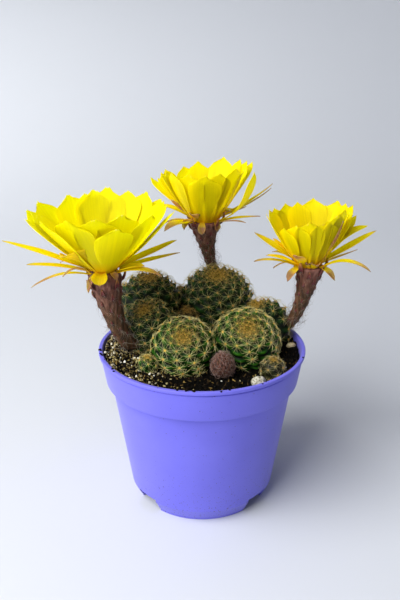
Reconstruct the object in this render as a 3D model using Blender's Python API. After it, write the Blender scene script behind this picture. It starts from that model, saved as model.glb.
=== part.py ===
"""Potted cactus in flower: a clump of ribbed, spiny heads in a plastic pot with three yellow blooms.

Lengths are millimetres and angles are degrees until a mesh is made.
X runs left to right, Y runs from front to back and Z is up. The pot's axis stands at POT_AXIS.
"""

import math
import random
from collections import namedtuple

import bmesh
import bpy
from mathutils import Matrix, Vector

MM = 0.001
GAP = 0.3                     # left between pieces that touch
POT_AXIS = (3.04, -7.75)      # from the middle of the whole outline to the pot's axis

# Pot, turned about its own axis
RIM_RADIUS = 42.5
POT_HEIGHT = 66.7
WALL = 1.0
LIP_HEIGHT = 1.4
COLLAR_TOP_RADIUS = 41.7
COLLAR_FOOT_RADIUS = 39.9
COLLAR_FOOT_Z = 53.4
BODY_TOP_RADIUS = 37.8
BODY_FOOT_RADIUS = 30.65
FOOT_RADIUS = 27.6
FOOT_Z = 6.0                  # the foot tapers faster below this
FLOOR_Z = 7.6
FLOOR = 1.2
FLOOR_EDGE = 0.3              # the floor's top reaches this far into the wall's foot
LIP_CORNERS = ((1.5, 0.2), (0.9, 0.0), (0.3, 0.1), (0.0, 0.5), (0.0, 1.1))    # in and down
COLLAR_CORNERS = ((0.1, 0.3), (-0.2, 0.0))    # out and up from the collar's foot
POT_SIDES = 48
NOTCH_HEIGHT = 7.1
NOTCH_NEAR = 38.5             # a notch's sides, from straight ahead and from straight behind
NOTCH_FAR = 58.0
NOTCH_FAR_GROUND = 67.0
NOTCH_REACH = (20.0, 36.0)    # radii that the notches are cut between
DRAINS = 4
DRAIN_RADIUS = 3.5
DRAIN_CIRCLE = 17.0
DRAIN_TURN = 45.0
DRAIN_SIDES = 12
CUTTER_MARGIN = 1.0           # a cutter reaches this far past what it cuts

# Soil
SOIL_TOP = 61.8
SOIL_RELIEF = 0.65
SOIL_SECTORS = 36
SOIL_RINGS = 8
SOIL_CLEAR = 0.45             # from the pot's wall
SOIL_EDGE = 0.1               # the surface ends this much further in
SOIL_SHOULDER = 0.4           # the soil's widest place, above the collar's foot
SEAT_Z = 55.0                 # the heads stand this deep
SHOULDER_Z = 63.1             # a head's relief and spines end here, just above the soil
HOLE_CLEAR = 0.45

# Heads: the crown leans by `lean` toward `toward`, an angle counted from +X
Head = namedtuple("Head", "centre radius lean toward columns rings spine colour")
GREEN = (0.085, 0.115, 0.030)
OLIVE = (0.120, 0.120, 0.035)
WOOLLY = (0.210, 0.135, 0.050)
MAUVE = (0.230, 0.110, 0.090)
FRONT = -90.0
HEADS = {
    "head_back_left": Head((-22.8, 21.2, 76.3), 13.4, 12, FRONT, 12, 8, 4.2, GREEN),
    "head_mid_left": Head((-21.9, 3.5, 72.8), 10.5, 28, -110, 12, 7, 4.0, GREEN),
    "head_small_middle": Head((-6.4, 13.0, 71.2), 6.0, 20, FRONT, 10, 5, 2.8, WOOLLY),
    "head_front_left": Head((-7.4, -10.3, 69.0), 11.9, 42, FRONT, 12, 8, 4.4, OLIVE),
    "head_front_right": Head((17.9, -3.2, 69.0), 12.9, 42, FRONT, 14, 8, 4.4, OLIVE),
    "head_back_middle": Head((6.5, 25.6, 74.9), 15.8, 20, FRONT, 14, 9, 4.4, GREEN),
    "head_back_right": Head((27.0, 13.2, 69.4), 10.8, 22, -160, 12, 7, 4.0, GREEN),
    "head_small_back": Head((-9.2, 31.6, 74.0), 6.4, 15, FRONT, 10, 5, 2.8, WOOLLY),
    "offset_front_left": Head((-21.4, -17.3, 65.2), 3.9, 15, FRONT, 8, 5, 2.0, OLIVE),
    "offset_front_right": Head((27.4, -20.6, 65.4), 4.4, 15, FRONT, 8, 5, 2.0, OLIVE),
    "flower_bud": Head((8.0, -19.6, 66.6), 4.1, 10, FRONT, 8, 6, 1.7, MAUVE),
}
CROWN_ANGLE = 13.0            # from a head's axis to its first ring of tubercles
LOWEST_ANGLE = 130.0          # from a head's axis to its last ring, where its foot starts
TUBERCLE = 0.075              # height of a tubercle, as a share of the head's radius
AREOLE_SHARE = 0.13           # size of an areole, as a share of the way to the next tubercle
AREOLE_RISE = 0.45
FELT_RISE = 0.5
FELT_CLEAR = 0.1              # air that the felt needs over it
SPINE_SLOPE = 25.0            # of the radial spines, above and below level
CROWN_SPINE_SLOPE = 8.0
SPINE_CLEAR = 0.35            # a spine ends this far short of the next furrow
SPINE_LIFT = 0.9              # of a spine's tip, off the head
CROWN_SPINE_LIFT = 0.545      # the same at the crown, as a share of the spine's length
LEAN_FADE = 0.8               # power that the lean dies out with, from the crown to the foot
CROWN_DEPTH = 0.93            # height of the crown's hollow, as a share of the head's radius
HEAD_MARGIN = 0.2             # each head stays this far inside the plane between two heads
HEAD_REACH = 8.0              # heads with a wider gap than this have no plane between them
RIM_CLEAR = 3.0               # heads and spines stay this far inside the rim, up to just above it
PULL = 0.02                   # share of the way that a point is drawn in at each try
RELIEF = (0.45, 1.0, 0.75)    # share of a tubercle's height at the crown, where it is full, and low
FULL_RELIEF_AT = 1 / 3        # share of the way down
SEAT_MARGIN = 0.5             # a flower's seat is this much wider than its tube

# Flowers
Flower = namedtuple(
    "Flower",
    "head start bend throat cup tube_radius throat_radius cup_radius petals reach swing turn",
)
FLOWERS = {
    "flower_left": Flower(
        "head_mid_left", (-0.62, -0.66, -0.40), 0.20, (-37.4, -10.0, 98.6), (-37.7, -12.0, 126.2),
        3.2, 6.2, 25.8, 10, 33.5, 6.0, 180,
    ),
    "flower_back": Flower(
        "head_back_middle", (-0.10, 0.60, 0.79), 0.14, (1.3, 33.0, 110.1), (1.6, 33.0, 133.2),
        2.7, 5.0, 19.5, 9, 26.0, 3.0, 0,
    ),
    "flower_right": Flower(
        "head_back_right", (0.92, -0.30, 0.16), 0.12, (43.9, 8.0, 98.0), (43.3, 8.0, 121.0),
        2.5, 4.9, 18.2, 9, 24.5, 2.5, 0,
    ),
}
TUBE_SIDES = 8
TUBE_RINGS = 11
TUBE_FLARE = 2.6              # power of the way up the tube
TUBE_LEAN = 0.35              # how much the tube's top leans along its chord
TUBE_UPPER = 0.50             # share of its length that the lean is felt over
TUBE_FIRST_SIDE = (0.3, 0.2, 1.0)
TUBE_CLEAR = 0.4              # spines keep this far off the scales
SCALE_RISE = 0.8
SCALE_LENGTH = 1.3
BLADE_CLEAR = 0.2             # half of the gap between two blades of a whorl
STATIONS = (0.22, 0.45, 0.68, 0.86, 0.96)
HUB_ROWS = 4

# Petals. Foot radii are shares of the hub, and foot heights are millimetres. The rest are shares of
# the cup's radius and height.
CupWhorl = namedtuple("CupWhorl", "foot pull lift tip width")
CUP_WHORLS = (
    CupWhorl((1.0, 1.2), (0.50, 0.22), (0.74, 0.62), (1.0, 1.0), 0.46),
    CupWhorl((0.9, 2.4), (0.26, 0.34), (0.54, 0.66), (0.76, 1.04), 0.38),
)
CUP_HUB = 0.86                # share of the throat's radius
CUP_HUB_TOP = 0.82            # share of the hub's own radius
CUP_HUB_HEIGHT = 3.0
CUP_TURN = 5.0
CUP_JITTER = (0.6, 0.7)       # of a tip's radius and height
CUP_HOLLOW = 0.16             # rise of a petal's edges, as a share of its half width
PETAL_SECTION = 0.8           # thickness along the middle of a petal
PETAL_WIDTHS = (0.60, 0.86, 1.0, 0.74, 0.34)

# Tepals. Rise and lift are shares of a tepal's reach, and width is a share of the cup's radius.
TEPALS = 7                    # in each of two whorls
SpreadWhorl = namedtuple("SpreadWhorl", "reach rise lift width")
SPREAD_WHORLS = (SpreadWhorl(0.86, 0.04, 0.10, 0.15), SpreadWhorl(1.0, 0.36, 0.30, 0.17))
SPREAD_PULLS = (0.36, 0.68)   # shares of the reach
SPREAD_ARCH = 1.15            # the second pull stands this much higher than the first
SPREAD_HUB = 0.95             # share of the throat's radius
SPREAD_HUB_TOP = 0.92
SPREAD_HUB_HEIGHT = 2.4
SPREAD_FOOT = 0.8
SPREAD_JITTER = (0.03, 1.0)   # of a tip's reach, as a share, and of its height
SPREAD_HOLLOW = 0.12
TEPAL_SECTION = 0.7
TEPAL_WIDTHS = (0.80, 1.0, 0.92, 0.62, 0.30)

# Stamens. Lengths are shares of the cup's radius.
STAMENS = 9                   # in each of two rings
STAMEN_DISC = ((1.0, 0.0), (1.0, 0.8), (0.62, 1.1), (0.24, 1.3))    # share of its radius, height
STAMEN_DISC_RADIUS = 0.56     # share of the throat's radius
STAMEN_LENGTH = 0.36
STAMEN_UNEVEN = (0.85, 1.1)
STAMEN_LEANS = (0.55, 0.25)
STYLE_LENGTH = 0.52

# Loose pieces on the soil
Pebble = namedtuple("Pebble", "spot size colour seed")
PEBBLES = {
    "pumice_disc": Pebble((21.0, -28.6), (3.1, 2.4, 1.6), (0.55, 0.50, 0.40), 3),
    "stone_chip": Pebble((36.2, 2.6), (2.6, 1.6, 1.2), (0.45, 0.38, 0.28), 5),
}
SWELL = (0.92, 1.04)          # unevenness of a pebble
BED = 6.0                     # level soil round a pebble
PEBBLE_CLEAR = 1.2            # spines keep this far off, as a share of the pebble's length

# Surfaces: linear colour and roughness
POT_SURFACE = ((0.19, 0.15, 0.72), 0.38)
SOIL_SURFACE = ((0.030, 0.022, 0.016), 0.95)
SKIN_ROUGHNESS = 0.6
TUBE_SURFACE = ((0.20, 0.085, 0.060), 0.7)
PETAL_SURFACE = ((0.87, 0.74, 0.012), 0.5)
TEPAL_SURFACE = ((0.62, 0.40, 0.045), 0.55)
STAMEN_SURFACE = ((0.80, 0.60, 0.06), 0.6)
PEBBLE_ROUGHNESS = 0.9


def material(name, colour, roughness):
    """A plain surface: linear colour and roughness."""
    made = bpy.data.materials.new(name)
    made.use_nodes = True
    surface = made.node_tree.nodes["Principled BSDF"]
    surface.inputs["Base Color"].default_value = (*colour, 1.0)
    surface.inputs["Roughness"].default_value = roughness
    surface.inputs["Metallic"].default_value = 0.0
    made.diffuse_color = (*colour, 1.0)
    return made


def add_piece(name, points, faces, surface, smooth=False):
    """One named object made of millimetre points, carried by the pot's axis."""
    mesh = bpy.data.meshes.new(name)
    mesh.from_pydata([Vector(point) * MM for point in points], [], faces)
    if surface:
        mesh.materials.append(surface)
    for face in mesh.polygons:
        face.use_smooth = smooth
    mesh.validate()
    piece = bpy.data.objects.new(name, mesh)
    bpy.context.scene.collection.objects.link(piece)
    piece.parent = bpy.data.objects["pot_axis"]
    return piece


def ring(radius, z, sides, turn=0.0):
    """Points of a level circle, counterclockwise from `turn`."""
    angles = [math.radians(turn + 360.0 * side / sides) for side in range(sides)]
    return [Vector((radius * math.cos(a), radius * math.sin(a), z)) for a in angles]


def band(upper, lower, sides):
    """Faces between two rings, given the index of each ring's first point; they look outward."""
    return [
        (upper + i, lower + i, lower + (i + 1) % sides, upper + (i + 1) % sides)
        for i in range(sides)
    ]


def prism(points, faces, lower, upper):
    """Append a closed solid between two outlines that run counterclockwise seen from above."""
    start, count = len(points), len(lower)
    points += list(lower) + list(upper)
    faces += band(start + count, start, count)
    faces.append([start + i for i in reversed(range(count))])
    faces.append([start + count + i for i in range(count)])


# Pot


def pot_profile():
    """Radius and height from the middle of the floor's top, over the rim, to its underside."""
    lip = [(RIM_RADIUS - inward, POT_HEIGHT - down) for inward, down in LIP_CORNERS]
    collar = [(COLLAR_FOOT_RADIUS + out, COLLAR_FOOT_Z + up) for out, up in COLLAR_CORNERS]
    return [
        (BODY_FOOT_RADIUS - WALL + FLOOR_EDGE, FLOOR_Z + FLOOR),
        (BODY_TOP_RADIUS - WALL, COLLAR_FOOT_Z - WALL),
        (COLLAR_FOOT_RADIUS - WALL, COLLAR_FOOT_Z),
        (COLLAR_TOP_RADIUS - WALL, POT_HEIGHT - LIP_HEIGHT),
        *lip,
        (COLLAR_TOP_RADIUS, POT_HEIGHT - LIP_HEIGHT),
        *collar,
        (BODY_TOP_RADIUS, COLLAR_FOOT_Z),
        (BODY_FOOT_RADIUS, FOOT_Z),
        (FOOT_RADIUS, 0.0),
        (FOOT_RADIUS - WALL, 0.0),
        (BODY_FOOT_RADIUS - WALL, FOOT_Z),
        (BODY_FOOT_RADIUS - WALL, FLOOR_Z),
    ]


def wedge_outline(facing, side, far, z):
    """Level outline of one notch, from the near side to the far one."""
    low, high = sorted((facing + side * NOTCH_NEAR, facing + side * far))
    corners = ((NOTCH_REACH[0], low), (NOTCH_REACH[1], low),
               (NOTCH_REACH[1], high), (NOTCH_REACH[0], high))
    return [ring(radius, z, 1, angle)[0] for radius, angle in corners]


def foot_cutter():
    """Wedges that open the foot ring, each wider at the ground, and pins for the drain holes."""
    points, faces = [], []
    for facing in (-90.0, 90.0):
        for side in (-1, 1):
            prism(points, faces, wedge_outline(facing, side, NOTCH_FAR_GROUND, -CUTTER_MARGIN),
                  wedge_outline(facing, side, NOTCH_FAR, NOTCH_HEIGHT))
    reach = (FLOOR_Z - CUTTER_MARGIN, FLOOR_Z + FLOOR + CUTTER_MARGIN)
    for middle in ring(DRAIN_CIRCLE, 0.0, DRAINS, DRAIN_TURN):
        low, high = (ring(DRAIN_RADIUS, z, DRAIN_SIDES) for z in reach)
        prism(points, faces, [middle + p for p in low], [middle + p for p in high])
    return add_cutter("foot_openings", points, faces)


def add_cutter(name, points, faces):
    """A cutter that is neither drawn nor rendered."""
    cutter = add_piece(name, points, faces, None)
    cutter.display_type = "WIRE"
    cutter.hide_render = True
    return cutter


def cut(piece, cutter, crossing=False):
    """Take the cutter away from the piece for good; `crossing` says its solids may overlap."""
    modifier = piece.modifiers.new("cut", "BOOLEAN")
    modifier.operation = "DIFFERENCE"
    modifier.object = cutter
    modifier.use_self = crossing
    bake(piece)
    bpy.data.objects.remove(cutter)


def bake(piece):
    """Turn the piece's modifiers into its mesh."""
    evaluated = piece.evaluated_get(bpy.context.evaluated_depsgraph_get())
    mesh = bpy.data.meshes.new_from_object(evaluated)
    piece.modifiers.clear()
    piece.data = mesh


def build_pot():
    profile = pot_profile()
    points, faces = [], []
    for radius, z in profile:
        points += ring(radius, z, POT_SIDES)
    for row in range(len(profile) - 1):
        faces += band(row * POT_SIDES, (row + 1) * POT_SIDES, POT_SIDES)
    last = (len(profile) - 1) * POT_SIDES
    faces.append(list(range(POT_SIDES)))
    faces.append([last + side for side in reversed(range(POT_SIDES))])
    pot = add_piece("pot", points, faces, material("pot_violet", *POT_SURFACE), True)
    cut(pot, foot_cutter())
    return pot


# Soil


def lies_under(pebble, point):
    """Whether a point of the soil belongs to the level bed of a pebble."""
    return (point.xy - Vector(pebble.spot)).length < max(pebble.size) + BED


def inner_wall_radius(z):
    """Radius of the pot's inside at a height."""
    inside = pot_profile()[:5]
    for (low_radius, low), (high_radius, high) in zip(inside, inside[1:]):
        if z <= high:
            share = max(0.0, (z - low) / (high - low))
            return low_radius + share * (high_radius - low_radius)
    return inside[-1][0]


def build_soil(feet):
    """Crumbly soil that fills the pot, with a plain hole for each head's foot."""
    chance = random.Random(7)
    heights = (FLOOR_Z + FLOOR + GAP, COLLAR_FOOT_Z - WALL - GAP, COLLAR_FOOT_Z + SOIL_SHOULDER)
    edge = [(inner_wall_radius(z) - SOIL_CLEAR, z) for z in heights]
    top = inner_wall_radius(SOIL_TOP) - SOIL_CLEAR - SOIL_EDGE
    points, faces = [], []
    for radius, z in edge:
        points += ring(radius, z, SOIL_SECTORS)
    for row in range(SOIL_RINGS):
        radius = top * (1.0 - row / SOIL_RINGS)
        half_sector = 180.0 / SOIL_SECTORS if row % 2 else 0.0
        for point in ring(radius, SOIL_TOP, SOIL_SECTORS, half_sector):
            relief = chance.uniform(-SOIL_RELIEF, SOIL_RELIEF)
            if not any(lies_under(pebble, point) for pebble in PEBBLES.values()):
                point.z += relief
            points.append(point)
    rows = len(edge) + SOIL_RINGS
    for row in range(rows - 1):
        faces += band((row + 1) * SOIL_SECTORS, row * SOIL_SECTORS, SOIL_SECTORS)
    points.append(Vector((0.0, 0.0, SOIL_TOP)))
    last = (rows - 1) * SOIL_SECTORS
    for i in range(SOIL_SECTORS):
        faces.append((last + i, last + (i + 1) % SOIL_SECTORS, len(points) - 1))
    faces.append([i for i in reversed(range(SOIL_SECTORS))])
    soil = add_piece("soil", points, faces, material("dark_soil", *SOIL_SURFACE))
    cut(soil, hole_cutter(feet), crossing=True)
    return soil


def hole_cutter(feet):
    """Upright pins, one for each head's foot."""
    points, faces = [], []
    for foot in feet.values():
        low, high = ([Vector((*p, z)) for p in foot] for z in (SEAT_Z - GAP, POT_HEIGHT))
        prism(points, faces, low, high)
    return add_cutter("foot_holes", points, faces)


# Heads


def planes_between(name):
    """A point and an outward normal for the plane between this head and each near one."""
    head = HEADS[name]
    middle = Vector(head.centre)
    planes = []
    for other_name, other in HEADS.items():
        across = Vector(other.centre) - middle
        distance = across.length
        if other_name == name or distance > head.radius + other.radius + HEAD_REACH:
            continue
        share = (distance ** 2 + head.radius ** 2 - other.radius ** 2) / (2.0 * distance)
        normal = across / distance
        planes.append((middle + normal * (share - HEAD_MARGIN), normal))
    for flower in FLOWERS.values():
        if flower.head == name:
            normal = Vector(flower.start).normalized()
            planes.append((middle + normal * seat_distance(flower), normal))
    return planes


def seat_distance(flower):
    """From a head's middle to the small flat that its flower stands on."""
    radius = HEADS[flower.head].radius
    return math.sqrt(radius ** 2 - (flower.tube_radius + SEAT_MARGIN) ** 2)


def keep_inside(point, middle, planes):
    """Draw a point toward the middle until it is behind every plane and clear of the pot."""
    for spot, normal in planes:
        reach = (point - middle).dot(normal)
        limit = (spot - middle).dot(normal)
        if reach > limit > 0.0:
            point = middle + (point - middle) * (limit / reach)
    upright = Vector((middle.x, middle.y, point.z))
    while is_low_and_far_out(point):
        point = point.lerp(upright, PULL)
    return point


def is_low_and_far_out(point):
    """Whether a point is no higher than just above the rim and closer to it than RIM_CLEAR."""
    low = point.z < POT_HEIGHT + RIM_CLEAR
    return low and Vector((point.x, point.y)).length > COLLAR_TOP_RADIUS - RIM_CLEAR


def is_free(point, planes, lumps):
    """Whether a spine's tip stays in the air beside its own head."""
    if point.z < SHOULDER_Z or is_low_and_far_out(point):
        return False
    if any((point - spot).dot(normal) > 0.0 for spot, normal in planes):
        return False
    return all((point - spot).length > radius for spot, radius in lumps)


def relief_at(share):
    """Share of a tubercle's full height, by the share of the way from the crown to the foot."""
    crown_relief, full_relief, low_relief = RELIEF
    if share == 1.0:
        return 0.0
    if share < FULL_RELIEF_AT:
        return crown_relief + (full_relief - crown_relief) * share / FULL_RELIEF_AT
    past = (share - FULL_RELIEF_AT) / (1.0 - FULL_RELIEF_AT)
    return full_relief + (low_relief - full_relief) * past


def head_rings(head, planes):
    """Rings of points from the crown to the foot; tubercles stand out at every other point."""
    middle = Vector(head.centre)
    axis = Vector((math.cos(math.radians(head.toward)), math.sin(math.radians(head.toward)), 0.0))
    tilt_axis = Vector((0.0, 0.0, 1.0)).cross(axis)
    drop = max(-1.0, min(1.0, (SHOULDER_Z - middle.z) / head.radius))
    lowest = min(LOWEST_ANGLE, math.degrees(math.acos(drop)))
    rings = []
    for row in range(head.rings):
        share = row / (head.rings - 1)
        polar = math.radians(CROWN_ANGLE + (lowest - CROWN_ANGLE) * share)
        lean = Matrix.Rotation(math.radians(head.lean) * (1.0 - share) ** LEAN_FADE, 3, tilt_axis)
        points = []
        for column in range(head.columns):
            angle = 2.0 * math.pi * column / head.columns
            direction = Vector((math.sin(polar) * math.cos(angle),
                                math.sin(polar) * math.sin(angle), math.cos(polar)))
            sign = 1.0 if (row + column) % 2 == 0 else -1.0
            radius = head.radius * (1.0 + sign * relief_at(share) * TUBERCLE)
            points.append(keep_inside(middle + lean @ direction * radius, middle, planes))
        rings.append(points)
    foot = []
    for point in rings[-1]:
        base = Vector((middle.x, middle.y, SEAT_Z))
        foot.append(keep_inside(Vector((point.x, point.y, SEAT_Z)), base, planes))
    rings.append(foot)
    crown = middle + Matrix.Rotation(math.radians(head.lean), 3, tilt_axis) @ Vector(
        (0.0, 0.0, head.radius * CROWN_DEPTH))
    return rings, keep_inside(crown, middle, planes)


def add_areole(points, corners, here, around, head, is_crown, is_in_air):
    """A felted areole with four spines on the tubercle at `here`; its faces are returned.

    `around` has the points to the right, above, to the left and below. `corners` gets the new
    corner that stands for `here` toward each of them.
    """
    middle = Vector(head.centre)
    spot = points[here]
    normal = (spot - middle).normalized()
    if not is_in_air(spot + normal * (AREOLE_RISE + FELT_RISE + FELT_CLEAR)):
        return []
    right, above, left, below = [points[other] for other in around]
    across = (right - left).normalized()
    upward = (above - below).normalized()
    low = []
    for other in around:
        corners[here, other] = len(points)
        low.append(len(points))
        points.append(spot.lerp(points[other], AREOLE_SHARE))
    high = [len(points) + i for i in range(4)]
    points += [points[index] + normal * AREOLE_RISE for index in low]
    room = 0.5 * (right - left).length - SPINE_CLEAR
    length = min(head.spine, room / math.cos(math.radians(SPINE_SLOPE)))
    slope = math.radians(CROWN_SPINE_SLOPE if is_crown else SPINE_SLOPE)
    lift = CROWN_SPINE_LIFT * head.spine if is_crown else SPINE_LIFT
    faces = []
    for side, (sideways, up) in enumerate(((1, 1), (-1, 1), (-1, -1), (1, -1))):
        flat = across * sideways * math.cos(slope) + upward * up * math.sin(slope)
        tip = spot + flat * length
        tip = middle + (tip - middle).normalized() * ((spot - middle).length + lift)
        after = (side + 1) % 4
        edge = (low[side], low[after], high[after], high[side])
        if is_in_air(tip):
            points.append(tip)
            faces += [(edge[i], edge[(i + 1) % 4], len(points) - 1) for i in range(4)]
        else:
            faces.append(edge)
    points.append(spot + normal * (AREOLE_RISE + FELT_RISE))
    return faces + [(high[i], high[(i + 1) % 4], len(points) - 1) for i in range(4)]


def open_at_areoles(faces, corners):
    """Lead each face round the areoles at its corners."""
    opened = []
    for face in faces:
        loop = []
        for place, index in enumerate(face):
            before, after = face[place - 1], face[(place + 1) % len(face)]
            if (index, before) in corners:
                loop += [corners[index, before], corners[index, after]]
            else:
                loop.append(index)
        opened.append(loop)
    return opened


def build_head(name, lumps):
    """A ribbed head: a lattice of tubercles, each with a felted areole and four spread spines."""
    head = HEADS[name]
    planes = planes_between(name)
    rings, crown = head_rings(head, planes)
    columns = head.columns
    points = [point for points_of_ring in rings for point in points_of_ring] + [crown]
    pole = len(points) - 1

    def at(row, column):
        return pole if row < 0 else row * columns + column % columns

    def is_in_air(point):
        return is_free(point, planes, lumps)

    faces = [(pole, at(0, i), at(0, i + 1)) for i in range(columns)]
    for row in range(len(rings) - 1):
        faces += band(at(row, 0), at(row + 1, 0), columns)
    faces.append([at(len(rings) - 1, i) for i in reversed(range(columns))])
    corners, spiny = {}, []
    for row in range(head.rings - 1):
        for column in range(row % 2, columns, 2):
            around = (at(row, column + 1), at(row - 1, column),
                      at(row, column - 1), at(row + 1, column))
            spiny += add_areole(points, corners, at(row, column), around, head, row == 0,
                                is_in_air)
    points, faces = drop_unused(points, open_at_areoles(faces, corners) + spiny)
    add_piece(name, points, faces, material(name + "_skin", head.colour, SKIN_ROUGHNESS))
    return foot_outline(Vector(head.centre), rings[-2], rings[-1])


def drop_unused(points, faces):
    """Leave out the points that no face uses."""
    used = sorted({index for face in faces for index in face})
    number = {index: place for place, index in enumerate(used)}
    return [points[index] for index in used], [[number[index] for index in face] for face in faces]


def foot_outline(middle, shoulder, seat):
    """Level outline of the hole for a head's foot."""
    outline = []
    for upper, lower in zip(shoulder, seat):
        axis = Vector((middle.x, middle.y))
        reach = max((Vector(point[:2]) - axis).length for point in (upper, lower))
        direction = (Vector(lower[:2]) - axis).normalized()
        outline.append(tuple(axis + direction * (reach + HOLE_CLEAR)))
    return outline


# Flowers


def tube_path(flower, count):
    """Points along a flower's tube, from its seat on the head up to its throat."""
    normal = Vector(flower.start).normalized()
    start = Vector(HEADS[flower.head].centre) + normal * (seat_distance(flower) + GAP)
    throat = Vector(flower.throat)
    rise = (throat - start).length
    bend = start + normal * (flower.bend * rise)
    lean = (bloom_axis(flower) + TUBE_LEAN * (throat - start) / rise).normalized()
    under = throat - lean * (TUBE_UPPER * rise)
    path = []
    for place in range(count):
        t = place / (count - 1)
        s = 1.0 - t
        path.append(start * s ** 3 + bend * 3 * s * s * t + under * 3 * s * t * t + throat * t ** 3)
    return path


def bloom_axis(flower):
    return (Vector(flower.cup) - Vector(flower.throat)).normalized()


def tube_radius(flower, share):
    flare = flower.throat_radius - flower.tube_radius
    return flower.tube_radius + flare * share ** TUBE_FLARE


def build_tube(name, flower):
    """A curved tube with small pointed scales that lie upward."""
    path = tube_path(flower, TUBE_RINGS)
    normal = Vector(flower.start).normalized()
    side = normal.cross(Vector(TUBE_FIRST_SIDE)).normalized()
    points, faces = [], []
    for place, spot in enumerate(path):
        if place == 0:
            along = normal
        elif place == len(path) - 1:
            along = bloom_axis(flower)
        else:
            along = (path[place + 1] - path[place - 1]).normalized()
        side = (side - along * side.dot(along)).normalized()
        other = along.cross(side)
        radius = tube_radius(flower, place / (len(path) - 1))
        for number in range(TUBE_SIDES):
            angle = 2.0 * math.pi * number / TUBE_SIDES
            points.append(spot + (side * math.cos(angle) + other * math.sin(angle)) * radius)
    sides = TUBE_SIDES
    for row in range(TUBE_RINGS - 1):
        for number, face in enumerate(band((row + 1) * sides, row * sides, sides)):
            if (row + number) % 2 or row < 2 or row == TUBE_RINGS - 2:
                faces.append(face)
                continue
            upper_left, _, _, upper_right = face
            edge = (points[upper_left] + points[upper_right]) / 2
            outward = (edge - path[row + 1]).normalized()
            upward = (path[row + 1] - path[row]).normalized()
            points.append(edge + outward * SCALE_RISE + upward * SCALE_LENGTH)
            faces += [(face[i], face[(i + 1) % 4], len(points) - 1) for i in range(4)]
    faces.append([i for i in reversed(range(sides))])
    faces.append([(TUBE_RINGS - 1) * sides + i for i in range(sides)])
    add_piece(name + "_tube", points, faces, material(name + "_tube", *TUBE_SURFACE))


def blade(points, faces, base, angle, route, widths, section, cup, pitch):
    """A petal drawn out of the diamond `base` (bottom, right, top, left) along `route`."""
    outward = Vector((math.cos(angle), math.sin(angle), 0.0))
    across = Vector((-math.sin(angle), math.cos(angle), 0.0))
    last = list(base)
    for place, (radius, z) in enumerate(route[:-1]):
        before = route[place - 1] if place else (radius - 1.0, z - 1.0)
        after = route[place + 1]
        along = Vector((after[0] - before[0], after[1] - before[1])).normalized()
        inward = outward * -along.y + Vector((0.0, 0.0, along.x))
        middle = outward * radius + Vector((0.0, 0.0, z))
        half = 0.5 * widths[place]
        rise = cup * half
        room = (radius - rise * along.y) * math.tan(pitch / 2) - BLADE_CLEAR
        half = min(half, room)
        keel = middle - inward * section / 2
        groove = middle + inward * section / 2
        right = middle + across * half + inward * rise
        left = middle - across * half + inward * rise
        new = [len(points) + i for i in range(4)]
        points += [keel, right, groove, left]
        for i in range(4):
            faces.append((last[i], last[(i + 1) % 4], new[(i + 1) % 4], new[i]))
        last = new
    radius, z = route[-1]
    points.append(outward * radius + Vector((0.0, 0.0, z)))
    faces += [(last[i], last[(i + 1) % 4], len(points) - 1) for i in range(4)]


def whorls(hub_radius, hub_top_radius, hub_height, count, turn, shape):
    """A low hub with two whorls of blades; `shape` gives each blade's route and widths."""
    points, faces = [], []
    for row in range(HUB_ROWS):
        share = row / (HUB_ROWS - 1)
        radius = hub_radius + (hub_top_radius - hub_radius) * share
        half_step = 180.0 / count if row % 2 else 0.0
        points += ring(radius, hub_height * share, count, turn + half_step)
    for i in range(count):
        after, before = (i + 1) % count, (i - 1) % count
        faces.append((i, after, count + i))
        faces.append((2 * count + i, 3 * count + i, 3 * count + before))
    faces.append([i for i in reversed(range(count))])
    faces.append([3 * count + i for i in range(count)])
    pitch = 2.0 * math.pi / count
    for i in range(count):
        after, before = (i + 1) % count, (i - 1) % count
        outer = (i, count + i, 2 * count + i, count + before)
        inner = (count + i, 2 * count + after, 3 * count + i, 2 * count + i)
        for whorl, base in enumerate((outer, inner)):
            angle = math.radians(turn) + pitch * (i + 0.5 * whorl)
            route, widths, section, cup = shape(whorl, angle)
            blade(points, faces, base, angle, route, widths, section, cup, pitch)
    return points, faces


def curve_route(start, pull, lift, end):
    """Stations of a cubic curve in a blade's own plane, the last one at its tip."""
    route = []
    for t in (*STATIONS, 1.0):
        s = 1.0 - t
        route.append(tuple(
            a * s ** 3 + b * 3 * s * s * t + c * 3 * s * t * t + d * t ** 3
            for a, b, c, d in zip(start, pull, lift, end)
        ))
    return route


def build_petals(name, flower, place):
    """The yellow cup: two whorls of broad pointed petals."""
    chance = random.Random(name)
    height = (Vector(flower.cup) - Vector(flower.throat)).length - place
    size = flower.cup_radius
    hub = CUP_HUB * flower.throat_radius

    def shape(number, angle):
        whorl = CUP_WHORLS[number]
        wobble, bob = (jitter * chance.uniform(-1.0, 1.0) for jitter in CUP_JITTER)
        foot = (whorl.foot[0] * hub, whorl.foot[1])
        pull, lift, tip = ((size * out, height * up) for out, up in (whorl.pull, whorl.lift,
                                                                     whorl.tip))
        route = curve_route(foot, pull, lift, (tip[0] + wobble, tip[1] + bob))
        return (route, [whorl.width * size * width for width in PETAL_WIDTHS], PETAL_SECTION,
                CUP_HOLLOW)

    points, faces = whorls(hub, CUP_HUB_TOP * hub, CUP_HUB_HEIGHT, flower.petals, CUP_TURN, shape)
    add_bloom(name + "_petals", flower, place, points, faces, PETAL_SURFACE)
    return place + CUP_HUB_HEIGHT


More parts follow.
